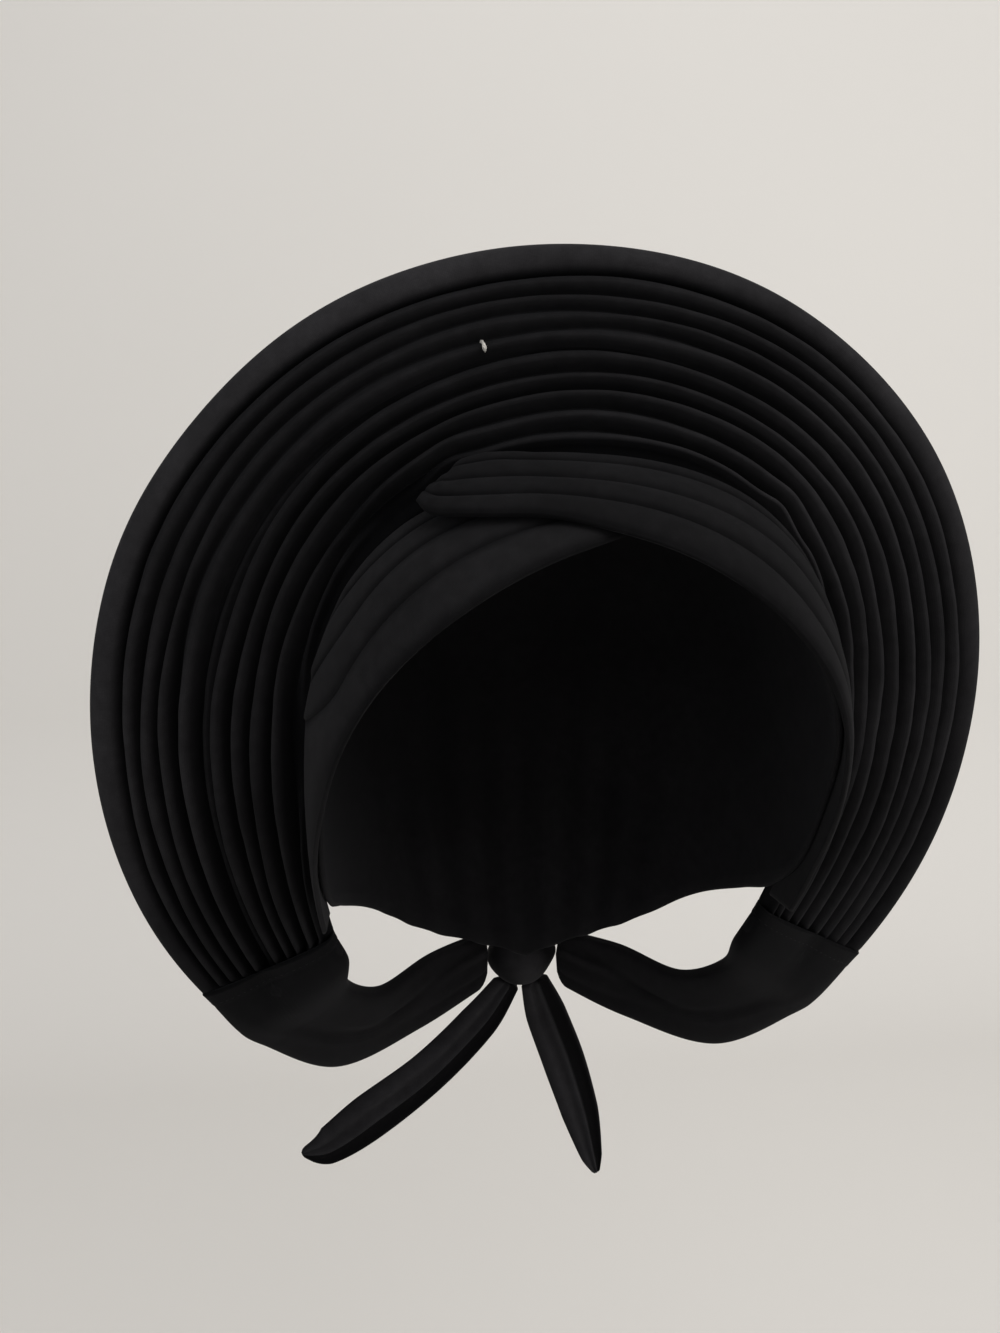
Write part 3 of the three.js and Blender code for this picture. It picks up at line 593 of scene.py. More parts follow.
def fan_surface(angle, tucked=True):
    """Front and rear of the fan at each angle, as grids of points, and the fold mark, painted light and shade, of
    each point.

    Across a pleat the front falls from its ridge by depth x (1 - (1 - |2x - 1|^2)^q), so ridges and valleys are
    both round. The rear runs a wall's thickness behind in the same wave, a little wider. The rim's pleat turns
    over backwards in a quarter of an oval. Tucked ends are drawn together inside the end covers."""
    angle = np.asarray(angle, float)
    root, outward, forward, width = fan_frame(angle)
    root_turn, root_back, foot, *pleats = rounded_curves(FAN_ROOT, (1, 2, 4), angle) + rounded_curves(
        PLEAT_WIDTHS, range(1, RIM + 3), angle)
    open_share = ease(np.minimum(angle - FAN_FIRST_ANGLE, FAN_LAST_ANGLE - angle), 0, END_FLATTENING)[:, None]
    depth = mix(PLEAT_DEPTH_AT_ENDS, PLEAT_DEPTH, open_share)
    roll = RIM_ROLL_DEPTH * depth / PLEAT_DEPTH
    shares = np.stack(pleats[:-1], axis=1)
    wide = shares / shares.sum(axis=1, keepdims=True) * width[:, None]
    start = np.cumsum(wide, axis=1) - wide
    along = np.radians(angle) * FAN_RADIUS

    number, x = pleat_points()
    is_rim = number == RIM
    leaned = np.clip(x + RIDGE_LEAN[number] * np.sin(math.pi * x), 0, 1)
    ridge = (1 - np.abs(2 * leaned - 1) ** 2) ** RIDGE_FALL[number]
    behind = 1 - (1 - np.minimum(1, np.abs(2 * leaned - 1) + REAR_SPREAD) ** 2) ** RIDGE_FALL[number]
    stand = np.ones((len(angle), len(x)))
    for pleat, at, half, share in SUNK_PLACES:
        stand = stand - share * hump(angle, at, half)[:, None] * (number == pleat)

    kept = open_share * (1 - 0.6 * is_rim)
    shift = np.stack([wander(11 + k, along / 20) for k in range(RIM + 2)], axis=1) * PLEAT_SWAY
    shift[:, [0, RIM + 1]] = 0
    sway = mix(shift[:, number], shift[:, number + 1], x) * kept
    swell = np.stack([wander(31 + k, along / 13) for k in range(RIM + 1)], axis=1) * PLEAT_SWAY
    rise = swell[:, number] * ridge * kept
    fine = wander(51, along[:, None] / 3, number * 2.1 + x * 2) * FINE_WRINKLE * kept
    for pleat, at, half, across, off in KINKS:
        bell = hump(angle, at, half)[:, None] * hump(number + x - 0.5, pleat, 0.6)
        sway = sway + across * bell
        rise = rise + off * bell

    flat_top = (ease(angle, 62, 90) * ease(angle, 178, 150))[:, None]
    flat_side = ease(angle, -6, -30)[:, None]
    shallow = 1 - TOP_FLATTENING * flat_top * ease(number + x, 2.5, 6.5) * (1 - 0.5 * is_rim)
    shallow = shallow * (1 - SIDE_FLATTENING * flat_side * ~is_rim)
    narrow = (number == NARROW) * (pleats[-1][:, None] * depth / PLEAT_DEPTH)
    s = start[:, number] + x * wide[:, number] + sway
    front_h = -np.minimum(depth * (1 - ridge * stand) * shallow + narrow, depth) + rise + fine
    hidden = 1 - (1 - behind) * stand
    rear_h = -PLEAT_WALL - narrow * (1 - behind) - depth * hidden - 0.25 * np.abs(rise)
    rear_h = mix(rear_h, -roll, ease(x, 0.45, 0.62) * is_rim)

    turn = np.linspace(0.06, 1, ROLL_POINTS) ** 0.9 * math.pi * 0.78
    ripple = wander(71, along / 16)[:, None] * 0.35 * np.sin(turn)
    tip_s = start[:, RIM:] + mix(ROLL_START, 1, np.sin(turn)) * wide[:, RIM:] + ripple
    tip_h = (np.cos(turn) - 1) / 1.77 * roll
    back_s = start[:, RIM:] + np.linspace(0.62, 0.74, ROLL_POINTS) * wide[:, RIM:]
    back_h = -roll * np.linspace(1, 0.97, ROLL_POINTS)

    outside = np.minimum(angle + MOUTH_ANGLE_LEFT, 180 + MOUTH_ANGLE_RIGHT - angle)
    drawn = (1 - ease(outside, -0.7, 0.35))[:, None] * tucked
    every_s = np.concatenate([s, tip_s], axis=1)
    every_h = np.concatenate([front_h, rear_h, tip_h], axis=1)

    def draw_in(values, every, amount):
        """The values drawn towards the middle of every value, by the amount at its ends where tucked."""
        low, high = every.min(axis=1, keepdims=True), every.max(axis=1, keepdims=True)
        middle = (low + high) / 2
        return middle + (values - middle) * (1 - 2 * amount * drawn / (high - low))

    def place(s, h):
        """Points at s across and h off the section."""
        s, h = draw_in(s, every_s, TUCK_ACROSS), draw_in(h, every_h, TUCK_OFF)
        return laid_out(root, s, outward, h, forward)

    front, rear = place(s, front_h), place(s, rear_h)
    step = np.linspace(0, 1, FOOT_POINTS, endpoint=False)[None, :, None]
    sole = across_hollow(root_turn, root_back + FOOT_SET_BACK, foot)[:, None]
    heel = across_hollow(root_turn, root_back + FOOT_SET_BACK + FOOT_THICKNESS, foot)[:, None]
    inward = FOOT_TUCK * drawn[..., None] * outward[:, None]
    sole, heel = sole + inward, heel + inward + TUCK_OFF * drawn[..., None] * forward[:, None]
    front = np.concatenate([mix(sole, front[:, :1], step), front, place(tip_s, tip_h)], axis=1)
    rear = np.concatenate([mix(heel, rear[:, :1], step), rear, place(back_s, back_h)], axis=1)
    return front, rear, fan_marks(angle, number, x, stand)


def make_fan(material):
    """The fan: one cloth in long pleats from one end cover to the other."""
    front, rear, mark = fan_surface(np.linspace(FAN_FIRST_ANGLE, FAN_LAST_ANGLE, FAN_STATIONS))
    return cloth("fan_cloth", front, rear, material, mark)


def make_tack(material):
    """The white tack: a thread laid over a pleat's ridge, a tube of ten-sided rings along the ridge's own line,
    lifted off the cloth by its radius and dipping into it at both ends."""
    line = fan_surface(np.array([TACK_ANGLE]))[0][0, TACK_FROM:TACK_TO]
    forward = fan_frame(np.array([TACK_ANGLE]))[2]
    ends = np.array([0.02, 0.7] + [1] * 10 + [0.7, 0.02])
    share = np.linspace(0, 1, len(ends))
    steps = np.linspace(0, 1, len(line))
    path = np.stack([np.interp(share, steps, line[:, k]) for k in range(3)], axis=1)
    arch = np.sin(math.pi * share) ** 0.4
    path = path + forward * (arch * (TACK_RADIUS + TACK_DIP) - TACK_DIP)[:, None]
    along = unit(np.gradient(path, axis=0))
    side = unit(np.cross(along, forward))
    up = np.cross(side, along)
    radius = TACK_RADIUS * (0.8 + 0.2 * np.sin(share * 9)) * ends
    turn = np.linspace(0, 2 * math.pi, 11)[None, :, None]
    ring = np.cos(turn) * side[:, None] + np.sin(turn) * up[:, None]
    points = path[:, None] + ring * radius[:, None, None]
    index, faces = grid_faces(*points.shape[:2])
    caps = np.array([[k[0], k[a], k[a + 1], k[a + 2]] for k in (index[0], index[-1][::-1]) for a in (1, 3, 5, 7)])
    return make_object("fan_tack_thread", points.reshape(-1, 3), np.concatenate([faces, caps[:, ::-1]]), material)


# Cap


def make_cap(material):
    """The cap: a shell over the crown down to its edge. Its outside has shallow gathers that fan out from the
    nape, each a bell-shaped ridge along a line of bearing, and a doubled hem along the edge. Both its uneven
    swells die away at the front, where its first and last column meet."""
    bearing = np.linspace(0, 360, CAP_COLUMNS)[None, :]
    share = np.linspace(0, 1, CAP_ROWS)[:, None] ** 0.9
    rise = mix(table_curve(CAP_EDGE, 1, np.abs((bearing + 180) % 360 - 180)), 90, share)
    towards = direction(bearing, rise)
    from_nape = np.abs(bearing - 180)
    nape = ease(share, 0.55, 0) * ease(from_nape, 55, 10)
    gathers = np.sin(np.radians(bearing - 180) * GATHERS + 0.8 * wander(3, from_nape / 9)) * nape * GATHER_HEIGHT
    fade = ease(from_nape, 180, 168)
    soft = wander(5, bearing / 16, share * 5) * 0.18 * ease(share, 1, 0.8) * fade
    hem = (1 - ease(share, 0.035, 0.05)) * 0.35 - hump(share, 0.055, 0.008) * 0.25
    inner = on_hollow(towards, 0.12 * (1 + wander(6, bearing / 14, share * 6) * fade) * ease(share, 1, 0.9))
    outer = on_hollow(towards, CAP_WALL + gathers + soft + hem)
    # Fold mark: painted shade in the troughs of the gathers and painted light on their ridges
    return cloth("cap_cloth", outer, inner, material, 0.6 + 0.4 * np.clip(gathers + 0.5, 0, 1), closed=True)


# Front bands


def make_band(name, rows, folds, leaves, side, seed, tone, material):
    """A front band: across it each fold swells as 1 - |2x - 1|^2.4 between creases, along it the folds sway a
    little, and fine cross wrinkles gather towards its ends. Before the share of its length where a crease leaves,
    it has run out over the high edge. The inside follows the hollow's form."""
    t = np.linspace(0, 1, BAND_STATIONS)
    low = strand(direction(side * rows[:, 0], rows[:, 1]), t)[:, None]
    high = strand(direction(side * rows[:, 2], rows[:, 3]), t)[:, None]
    lifts = strand(np.column_stack([rows[:, 4:6], np.arange(len(rows))]), t)
    x = (1 - np.cos(np.linspace(0, math.pi, FOLD_POINTS + 1))) / 2
    number = np.concatenate([np.repeat(np.arange(len(folds)), FOLD_POINTS), [len(folds) - 1]])
    x = np.concatenate([np.tile(x[:-1], len(folds)), [1]])
    sway = np.stack([wander(seed + k, t * 9) for k in range(len(folds) + 1)], axis=1) * FOLD_SWAY
    sway[:, [0, -1]] = 0
    line = np.concatenate([[0], np.cumsum(folds)]) + sway
    for crease_number, (gone, whole) in enumerate(leaves, start=1):
        last = 1 - 0.004 * (len(folds) - crease_number)
        run = np.clip((t - gone) / (whole - gone), 0, 1)
        line[:, crease_number] = mix(last, line[:, crease_number], run * (2 - run))
    full = ease(np.diff(line, axis=1), 0.01, 0.12)[:, number]
    across = mix(line[:, number], line[:, number + 1], x)

    t = t[:, None]
    ridge = 1 - np.abs(2 * x - 1) ** 2.4 + 0 * across
    tucked = ease(x, 0, 0.12) * (1 - 0.35 * ease(x, 0.5, 1))
    thin = 1 - 0.8 * ease(t, 0.9, 1)
    swell = FOLD_SWELL * thin * (0.75 * ridge + 0.35 * tucked) + BAND_WRINKLE * wander(seed + 20, t * 14, across * 6)
    wrinkle = BAND_WRINKLE * wander(seed + 30, t * 60, across * 14) * (0.25 + ease(t, 0.7, 1))
    wall = BAND_WALL * (1 - 0.45 * ease(t, 0.93, 1))
    open_out = ease(t, 0.08, 0.45)
    crease = FOLD_CREASE * (1 - ridge) ** 2
    raised = (swell * ridge**0.3 - crease * thin) * (0.45 + 0.55 * open_out) * full
    lift = mix(lifts[:, :1], lifts[:, 1:2], across)
    towards = mix(low, high, across[..., None])
    outer = on_hollow(towards, lift + wall + raised + wrinkle * ridge * full)
    inner = on_hollow(towards, lift + 0.02)
    # Fold mark: painted shade in the creases between the folds and painted light on their ridges, less so near the
    # start; the tone darkens a whole band as painted shade
    mark = mix(1, 0.12 + 0.88 * ease(ridge, 0, 0.95), (0.3 + 0.7 * open_out) * full)
    return cloth(name, outer, inner, material, tone * mark)


# End covers


def fan_section_box(angle):
    """Centre, outward direction, width and thickness of the box round the fan's section at an angle."""
    front, rear = fan_surface(np.array([angle]), tucked=False)[:2]
    root, outward, forward = (part[0] for part in fan_frame(np.array([float(angle)]))[:3])
    points = np.concatenate([front[0], rear[0]]) - root
    s, h = points @ outward, points @ forward
    centre = root + outward * (s.min() + s.max()) / 2 + forward * (h.min() + h.max()) / 2
    return centre, outward, s.max() - s.min(), h.max() - h.min()


def cover_frame(side, t, inside=0):
    """Rings of an end cover at shares t from its mouth to the knot: centre, directions across and off, half
    width and half thickness, drawn in by inside."""
    rows = []
    grow = COVER_CLEAR + COVER_WALL
    for below in (MOUTH_ANGLE_LEFT if side > 0 else MOUTH_ANGLE_RIGHT, COVER_POCKET_ANGLE):
        centre, outward, wide, thick = fan_section_box(-below if side > 0 else 180 + below)
        half = outward * (wide / 2 + grow)
        rows.append([*(centre + half), *(centre - half), thick + 2 * grow])
    rows = np.vstack([rows, COVER_SECTIONS * np.array([side, 1, 1, side, 1, 1, 1])])
    low, high = strand(rows[:, :3], t), strand(rows[:, 3:6], t)
    thick = strand(np.column_stack([rows[:, 6], np.arange(len(rows))]), t)[:, 0]
    ahead, behind = np.clip(t + 1e-3, 0, 1), np.clip(t - 1e-3, 0, 1)
    heading = unit(sum(unit(strand(edge, ahead) - strand(edge, behind)) for edge in (rows[:, :3], rows[:, 3:6])))
    across = unit(low - high)
    off = unit(np.cross(across, heading))
    return (low + high) / 2, across, off, np.linalg.norm(low - high, axis=-1) / 2 - inside, thick / 2 - inside


def cover_ring(centre, across, off, half_wide, half_thick, turn):
    """Points of each ring at angles turn: |u/w|^4 + |v/t|^3 = 1 in the ring's own directions."""
    c, s = np.cos(turn)[None, :], np.sin(turn)[None, :]
    u, v = half_wide[:, None] * signed_power(c, 0.5), half_thick[:, None] * signed_power(s, 0.6)
    return laid_out(centre, u, across, v, off)


def make_cover(name, side, seed, material):
    """An end cover, and its seam's line and direction off the cloth: a flattened cuff that narrows to the knot,
    open at its mouth, with a turned hem there and a few long soft folds, each a bell across a curved line from
    mouth to knot. The inside is a pocket that reaches a share of its length."""
    t = np.linspace(0, 1, COVER_ROWS) ** 1.1
    turn = np.linspace(0, 2 * math.pi, COVER_COLUMNS)
    centre, *ring = cover_frame(side, t)
    place = signed_power(np.cos(turn), 0.5)[None, :]
    face = np.abs(np.sin(turn)) ** 0.5
    push = 0.18 * wander(seed, t[:, None] * 12, np.cos(turn)[None] * 2.4, np.sin(turn)[None] * 2)
    for at, slope, bend, half, height in COVER_FOLDS:
        line = at + slope * t + bend * np.sin(math.pi * t)
        push = push + height * hump(place, line[:, None], half) * face * ease(t, 0.05, 0.2)[:, None]
    gather = np.sin(place * 11 + 1.2 * wander(seed + 1, t * 8)[:, None]) * 0.5 * ease(t, 0.55, 0.95)[:, None]
    hem = 0.12 * (1 - ease(t, 0.052, 0.06)) - 0.15 * hump(t, COVER_SEAM, 0.006)
    push = push * 0.6 + gather * face + (hem - MOUTH_DRAWN_IN * (1 - ease(t, 0, 0.3)))[:, None] - 0.25
    outer = cover_ring(centre, *ring, turn)
    outer = outer + unit(outer - centre[:, None]) * push[..., None]
    outer = mix(centre[:, None], outer, rounded_end(t, 0.965, 0.035)[:, None, None])
    share = np.minimum(t, 0.999) * COVER_POCKET
    middle, *ring = cover_frame(side, share, inside=COVER_WALL + 1.7 * (1 - ease(share, 0, 0.12)))
    inner = mix(middle[:, None], cover_ring(middle, *ring, turn), 1 - ease(t, 0.9, 1)[:, None, None])
    lengths = np.linspace(0, COVER_GIRTH, COVER_COLUMNS), t * COVER_LENGTH
    # Fold mark: painted shade where the cloth is pushed in, at the folds' hollows, the seam and the drawn-in mouth,
    # and painted light where it is pushed out
    piece = cloth(
        name, outer, inner, material, np.clip(0.8 + 0.5 * push, 0, 1), closed=True, lengths=lengths, edge_share=1
    )
    row = int(COVER_ROWS * COVER_SEAM)
    return piece, outer[row], unit(outer[row] - centre[row])


def make_stitches(name, line, away, material):
    """A row of stitches along a closed line: each is a bead of five rings of six points, bowed off the cloth."""
    steps = lengths_along(line)
    count = int(steps[-1] // (STITCH_LENGTH + STITCH_GAP))
    share = np.linspace(0, 1, 5)
    at = (np.arange(count) * steps[-1] / count)[:, None] + share * STITCH_LENGTH
    centre, up = (np.stack([np.interp(at, steps, rows[:, k]) for k in range(3)], axis=-1) for rows in (line, away))
    up = unit(up)
    side = unit(np.cross(unit(centre[:, -1:] - centre[:, :1]) + 0 * centre, up))
    radius = (STITCH_THICK / 2 * np.sqrt(np.clip(1 - (2 * share - 1) ** 2 * 0.96, 0, 1)))[:, None, None]
    bow = (STITCH_THICK * 0.55 * np.sin(math.pi * share) - 0.1)[:, None]
    turn = np.linspace(0, 2 * math.pi, 6, endpoint=False)[:, None]
    ring = np.cos(turn) * side[:, :, None] + np.sin(turn) * up[:, :, None]
    points = (centre + up * bow)[:, :, None] + radius * ring
    index = np.arange(points.size // 3).reshape(points.shape[:3])
    after = np.roll(index, -1, axis=2)
    sides = np.stack([index[:, :-1], after[:, :-1], after[:, 1:], index[:, 1:]], axis=-1)
    ends = index.reshape(count, -1)[:, [[3, 2, 1, 0], [5, 4, 3, 0], [24, 25, 26, 27], [24, 27, 28, 29]]]
    faces = np.concatenate([sides.reshape(-1, 4), ends.reshape(-1, 4)])
    return make_object(name, points.reshape(-1, 3), faces, material)


# Knot and tie ends


def make_knot(material):
    """The knot: an oval lump, fuller round its waist, with creases that spiral over it."""
    up, turn = np.linspace(-90, 90, 91), np.linspace(0, 360, 145)
    a, b = np.radians(up)[:, None], np.radians(turn)[None, :]
    crease = np.sin(3 * b + 2.2 * a + 0.8 * wander(81, 2 * np.sin(b), 2 * a))
    plump = (1 + 0.1 * np.cos(3 * a)) * (1 + 0.05 * crease * np.cos(a)) - 0.035
    flat = np.cos(a) ** 0.8
    x, y, z = KNOT_CENTRE
    points = np.stack(np.broadcast_arrays(
        x + KNOT_HALF_WIDTH * flat * np.cos(b) * plump, y + KNOT_HALF_DEPTH * flat * np.sin(b) * plump,
        z + (KNOT_HALF_HEIGHT - 0.3) * np.sin(a)), axis=-1)
    # Fold mark: painted shade in the creases and painted light on the swells between them
    return skin("knot_cloth", points, turn * 0.2, up * 0.3, material, np.clip(0.6 + 0.4 * crease, 0, 1))


def make_tie_end(name, rows, seed, material):
    """A tie end: its section of rolled folds, a smooth closed line, carried along the strip's path and
    scaled by its width and thickness, with both ends drawn to a point."""
    t = np.linspace(0, 1, TIE_STATIONS)
    path = strand(rows[:, :3], t)
    size = strand(np.column_stack([rows[:, 3:], np.arange(len(rows))]), t)
    heading = unit(np.gradient(path, axis=0))
    off = unit(np.array([0, 1, 0]) - heading[:, 1:2] * heading)
    across = np.cross(heading, off)
    closed = np.vstack([TIE_END_SECTION[-2:], TIE_END_SECTION, TIE_END_SECTION[:3]])
    section = strand(closed, np.linspace(2, len(closed) - 3, TIE_POINTS) / (len(closed) - 1))
    section[-1] = section[0]
    u, v = section[:, 0][None], section[:, 1][None]
    wrinkle = 1 + 0.06 * wander(seed, t[:, None] * 16, u * 5) * ease(t, 0, 0.2)[:, None]
    tip = (rounded_end(t, 0.97, 0.03) * rounded_end(-t, -0.02, 0.02))[:, None]
    wide, thick = size[:, :1] * tip, size[:, 1:2] * tip * wrinkle
    points = laid_out(path, u * wide, across, v * thick, off)
    # Fold mark: painted light on the parts of the section that stand out, and a painted shadow in the deep fold along
    # the low edge on the front
    painted_shadow = ease(u, 0.1, 0.17) * (1 - ease(u, 0.44, 0.5)) * (v < 0.1)
    fold = np.clip(0.3 + 1.2 * np.abs(v), 0, 1) * (1 - 0.95 * painted_shadow) + 0 * t[:, None]
    return skin(name, points, np.linspace(0, TIE_GIRTH, TIE_POINTS), t * TIE_LENGTH, material, fold)


# Finishes


def feed(tree, target, inputs):
    """The node, with its inputs linked from sockets or set to values."""
    for name, value in inputs.items():
        if isinstance(value, bpy.types.NodeSocket):
            tree.links.new(value, target.inputs[name])
        else:
            target.inputs[name].default_value = value
    return target


def node(tree, kind, inputs, **settings):
    """A new shader node with its settings and inputs."""
    made = tree.nodes.new("ShaderNode" + kind)
    for name, value in settings.items():
        setattr(made, name, value)
    return feed(tree, made, inputs)


def maths(tree, operation, a, b):
    """Result of a sum with two values."""
    return node(tree, "Math", {0: a, 1: b}, operation=operation).outputs[0]


def noise(tree, place, scale, detail=2, roughness=0.5):
    """Soft noise over a place."""
    inputs = {"Vector": place, "Scale": scale, "Detail": detail, "Roughness": roughness}
    return node(tree, "TexNoise", inputs).outputs["Fac"]


def rescale(tree, value, low, high, to_low, to_high):
    """A value between low and high carried to between two others."""
    inputs = {"Value": value, "From Min": low, "From Max": high, "To Min": to_low, "To Max": to_high}
    return node(tree, "MapRange", inputs).outputs["Result"]


def mix_colours(tree, share, a, b, way="MIX"):
    """Colour at a share between a and b. A mix node's colours are its inputs 6 and 7 and its output 2."""
    inputs = {"Factor": share, 6: a, 7: b}
    return node(tree, "Mix", inputs, data_type="RGBA", blend_type=way).outputs[2]


def new_group(name, inputs, outputs):
    """An empty shader node group with inputs (name, type, value) and outputs (name, type): its tree, its inputs'
    sockets, and the node of its outputs."""
    group = bpy.data.node_groups.new(name, "ShaderNodeTree")
    for label, kind, value in inputs:
        socket = group.interface.new_socket(label, in_out="INPUT", socket_type="NodeSocket" + kind)
        if value is not None:
            socket.default_value = value
    for label, kind in outputs:
        group.interface.new_socket(label, in_out="OUTPUT", socket_type="NodeSocket" + kind)
    return group, group.nodes.new("NodeGroupInput").outputs, group.nodes.new("NodeGroupOutput")


def new_material(name):
    """A new material, its tree, its shader and its texture coordinates."""
    material = bpy.data.materials.new(name)
    material.use_nodes = True
    tree = material.node_tree
    return material, tree, tree.nodes["Principled BSDF"], node(tree, "TexCoord", {}).outputs


def crepe_weave_group():
    """Height of a crepe: two sets of fine threads across each other, broken up by a pebbled grain."""
    group, given, out = new_group(
        "crepe weave",
        [("UV", "Vector", None), ("Threads per metre", "Float", 2600), ("Pebble", "Float", 0.6)],
        [("Height", "Float"), ("Tone", "Float")],
    )
    scaled = node(group, "VectorMath", {0: given["UV"], "Scale": given["Threads per metre"]},
                  operation="SCALE").outputs[0]
    threads = {"Vector": scaled, "Scale": 0.32, "Distortion": 1.6, "Detail": 1}
    warp, weft = (node(group, "TexWave", threads, bands_direction=way).outputs["Fac"] for way in "XY")
    both = maths(group, "MULTIPLY", warp, weft)
    pebble = noise(group, scaled, 0.7, 3, 0.6)
    height = node(group, "Mix", {"Factor": given["Pebble"], "A": both, "B": pebble}).outputs["Result"]
    feed(group, out, {"Height": height, "Tone": rescale(group, height, 0.2, 0.8, 0.8, 1.2)})
    return group


def shade_and_tone_group():
    """Colour and roughness of the cloth: painted shade in creases and painted light on ridges, mixed by the mark, and
    wide soft patches and fine specks that differ a little in tone; the roughness is a little lower in some wide
    patches."""
    group, given, out = new_group(
        "painted shade and tone",
        [("Place", "Vector", None), ("Painted light mark", "Float", 1),
         ("Painted shade colour", "Color", (0.006, 0.006, 0.008, 1)),
         ("Painted light colour", "Color", (0.016, 0.016, 0.018, 1)),
         ("Weave tone", "Float", 1), ("Roughness base", "Float", 0.86)],
        [("Color", "Color"), ("Roughness", "Float")],
    )
    wide = noise(group, given["Place"], 22, 4, 0.55)
    near = noise(group, given["Place"], 240, 3, 0.6)
    patches, dust = rescale(group, wide, 0.3, 0.7, 0.82, 1.18), rescale(group, near, 0.35, 0.75, 0.9, 1.2)
    tone = maths(group, "MULTIPLY", maths(group, "MULTIPLY", patches, dust), given["Weave tone"])
    base = mix_colours(group, given["Painted light mark"], given["Painted shade colour"], given["Painted light colour"])
    grey = node(group, "CombineColor", {"Red": tone, "Green": tone, "Blue": tone}).outputs[0]
    rough = maths(group, "SUBTRACT", given["Roughness base"], maths(group, "MULTIPLY", wide, 0.12))
    feed(group, out, {"Color": mix_colours(group, 1, base, grey, "MULTIPLY"), "Roughness": rough})
    return group


def crepe(name, weave_group, cloth_group, crease, ridge):
    """Crepe material: weave and painted shade groups drive colour, roughness and bump; the crease colour is painted
    shade and the ridge colour painted light, mixed by the fold mark; sheen is the shader's own.
    """
    material, tree, shader, coordinates = new_material(name)
    # The fold mark, painted light and shade, is read from each mesh
    fold = node(tree, "Attribute", {}, attribute_name="fold")
    weave = node(tree, "Group", {"UV": coordinates["UV"], "Pebble": 0.6}, node_tree=weave_group)
    shaded = node(tree, "Group", {
        "Place": coordinates["Object"], "Painted light mark": fold.outputs["Fac"], "Weave tone": weave.outputs["Tone"],
        "Painted shade colour": (*crease, 1), "Painted light colour": (*ridge, 1), "Roughness base": 0.88,
    }, node_tree=cloth_group)
    relief = node(tree, "Bump", {"Strength": 0.25, "Distance": 0.0003, "Height": weave.outputs["Height"]})
    feed(tree, shader, {
        "Base Color": shaded.outputs["Color"], "Roughness": shaded.outputs["Roughness"],
        "Normal": relief.outputs["Normal"], "Specular IOR Level": 0.03,
        "Sheen Weight": 0.015, "Sheen Roughness": 0.45, "Sheen Tint": (0.9, 0.92, 1, 1),
    })
    return material


def thread(name, colour):
    """Twisted sewing thread: a fine diagonal ply over the colour."""
    material, tree, shader, coordinates = new_material(name)
    ply = node(tree, "TexWave", {"Vector": coordinates["Object"], "Scale": 900, "Distortion": 1},
               bands_direction="DIAGONAL").outputs["Fac"]
    shade = mix_colours(tree, ply, (*(0.6 * c for c in colour), 1), (*colour, 1))
    relief = node(tree, "Bump", {"Strength": 0.4, "Distance": 0.0001, "Height": ply})
    feed(tree, shader, {
        "Base Color": shade, "Normal": relief.outputs["Normal"], "Roughness": 0.6, "Specular IOR Level": 0.1,
    })
    return material


# Stage and light


def plain_paint(name, colour):
    """Matt pale paint with a faint mottle."""
    material, tree, shader, coordinates = new_material(name)
    mottle = noise(tree, coordinates["Object"], 2)
    tint = mix_colours(tree, mottle, (*(0.97 * c for c in colour), 1), (*colour, 1))
    feed(tree, shader, {"Base Color": tint, "Roughness": 0.9})
    return material


def make_stage():
    """A pale floor that curves up into a wall behind, in metres: its section is floor, quarter circle and wall."""
    level, front, back, bend, top, half = -0.72, -3, 1.15, 0.35, 2.4, 3
    quarter = np.linspace(0, math.pi / 2, 24)
    y = np.concatenate([[front], back - bend + bend * np.sin(quarter), [back]])
    z = np.concatenate([[level], level + bend - bend * np.cos(quarter), [top]])
    points = np.stack(np.broadcast_arrays(np.array([-half, half]), y[:, None], z[:, None]), axis=-1)
    paint = plain_paint("pale paint", (0.715, 0.698, 0.672))
    floor = new_surface("floor", points.reshape(-1, 3), grid_faces(len(y), 2)[1], paint)


def make_lights():
    """Soft room light, in metres and named as the camera sees it: square lamps above in front, on each side and
    behind, each turned to its aim, and pale surroundings."""
    for name, place, aim, size, power, colour in (
        ("overhead", (0.6, -0.9, 1.3), (0, 0.1, -0.1), 1.5, 15, (1, 0.98, 0.96)),
        ("right side", (1.5, -0.9, 0.3), (0.5, 1, 0.2), 1, 13.5, (1, 0.98, 0.95)),
        ("left side", (-1.3, -0.9, 0.1), (0, 0, -0.1), 1.2, 5, (0.95, 0.97, 1)),
        ("behind", (0, 0.85, 1.35), (0, 0.1, -0.1), 0.9, 3, (1, 0.99, 0.98)),
    ):
        data = bpy.data.lights.new(name, "AREA")
        data.shape, data.size, data.energy, data.color = "SQUARE", size, power, colour
        light = new_object(name, data)
        light.location = place
        light.rotation_euler = (Vector(aim) - Vector(place)).to_track_quat("-Z", "Y").to_euler()
    world = bpy.data.worlds.new("room")
    world.use_nodes = True
    background = world.node_tree.nodes["Background"]
    feed(world.node_tree, background, {"Color": (0.80, 0.79, 0.78, 1), "Strength": 0.62})
    bpy.context.scene.world = world


# Putting it together

make_camera()
make_stage()
make_lights()
bpy.context.scene.view_settings.view_transform = "Standard"

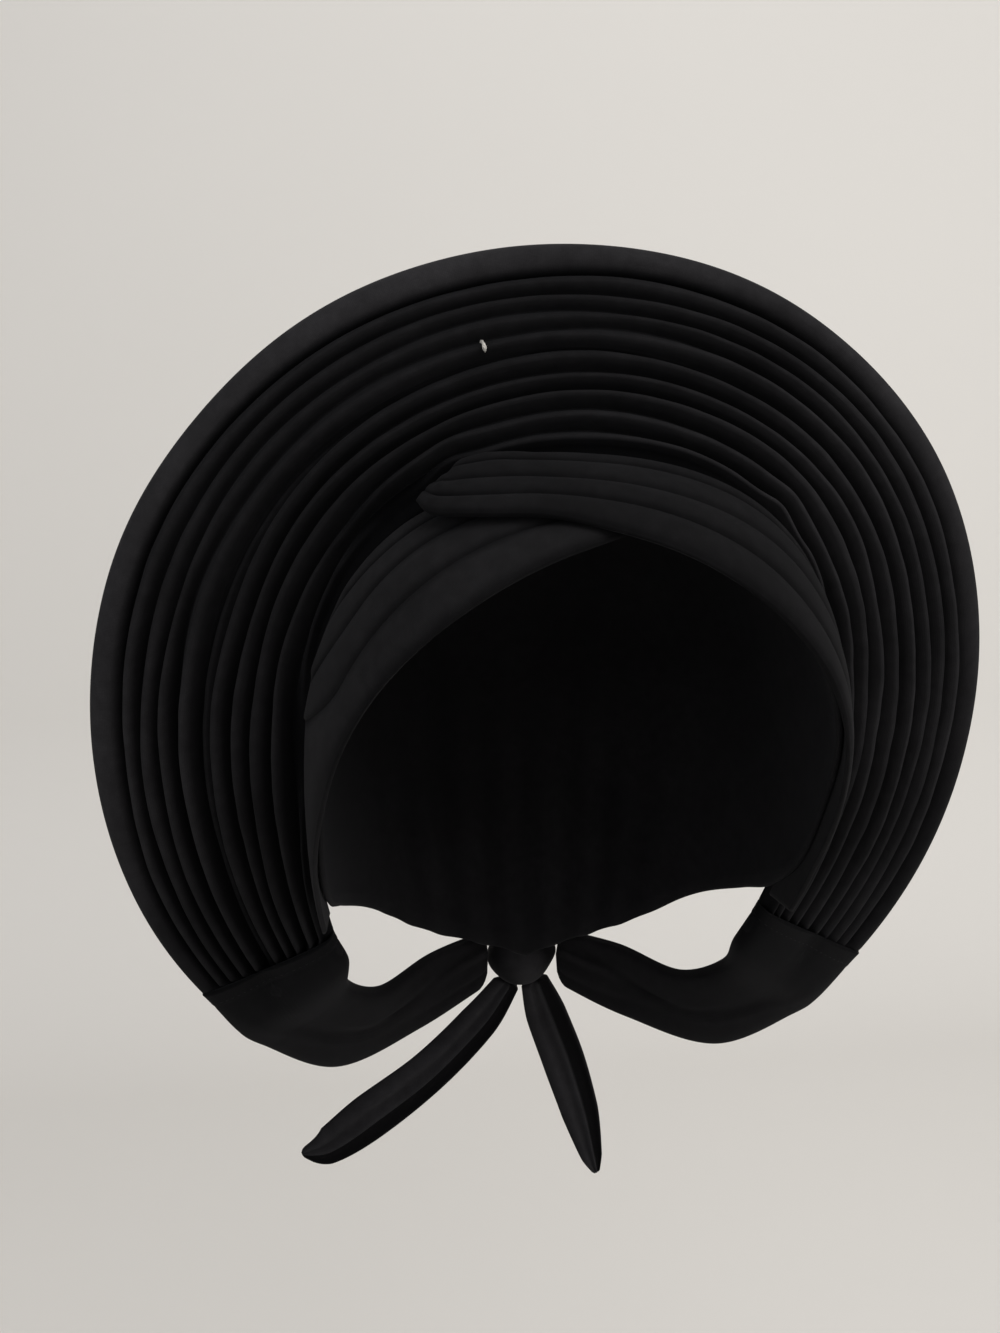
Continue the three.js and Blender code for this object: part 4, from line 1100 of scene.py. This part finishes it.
groups = (crepe_weave_group(), shade_and_tone_group())
# Each crepe's first colour is painted shade for creases and its second painted light for ridges; the five copies of
# one black crepe are each set to the brightness its piece shows in the light, which is painted light and shade as
# well
fan_crepe = crepe("fan crepe", *groups, (0.0012, 0.0012, 0.0015), (0.0226, 0.022, 0.0237))
band_crepe = crepe("band crepe", *groups, (0.004, 0.0039, 0.0043), (0.0115, 0.0112, 0.012))
cap_crepe = crepe("cap crepe", *groups, (0.003, 0.003, 0.0034), (0.0075, 0.0073, 0.008))
cover_crepe = crepe("cover crepe", *groups, (0.003, 0.003, 0.0033), (0.0062, 0.006, 0.0066))
tie_crepe = crepe("tie crepe", *groups, (0.002, 0.0019, 0.0022), (0.015, 0.0145, 0.0158))
black_thread = thread("black thread", (0.004, 0.004, 0.0045))
white_thread = thread("white thread", (0.62, 0.6, 0.56))

fan = make_fan(fan_crepe)
tack = make_tack(white_thread)
cap = make_cap(cap_crepe)
# The over band's tone of 0.45 is painted shade, set against the light it catches from above
band_right = make_band("band_right_cloth", UNDER_BAND, UNDER_FOLDS, UNDER_LEAVES, -1, 101, 1, band_crepe)
band_left = make_band("band_left_cloth", OVER_BAND, OVER_FOLDS, (), 1, 141, 0.45, band_crepe)
cover_right, *seam_right = make_cover("cover_right_cloth", -1, 201, cover_crepe)
cover_left, *seam_left = make_cover("cover_left_cloth", 1, 221, cover_crepe)
stitches_right = make_stitches("cover_right_stitches", *seam_right, black_thread)
stitches_left = make_stitches("cover_left_stitches", *seam_left, black_thread)
knot = make_knot(tie_crepe)
tie_right = make_tie_end("tie_right_cloth", RIGHT_TIE_END, 241, tie_crepe)
tie_left = make_tie_end("tie_left_cloth", LEFT_TIE_END, 261, tie_crepe)

PIECES = [
    (fan, "pleated_fan", "fan_cloth"),
    (tack, None, "fan_cloth"),
    (cap, "crown_cap", "cap_cloth"),
    (band_right, "front_band_right", "band_cloth"),
    (band_left, "front_band_left", "band_cloth"),
    (cover_right, "end_cover_right", "cover_cloth"),
    (cover_left, "end_cover_left", "cover_cloth"),
    (stitches_right, None, "cover_cloth"),
    (stitches_left, None, "cover_cloth"),
    (knot, "tie_knot", "tie_cloth"),
    (tie_right, "tie_end_right", "tie_cloth"),
    (tie_left, "tie_end_left", "tie_cloth"),
]
for piece, replaced, slot in PIECES:
    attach(piece, "root")
    if replaced:
        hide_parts(replaced)
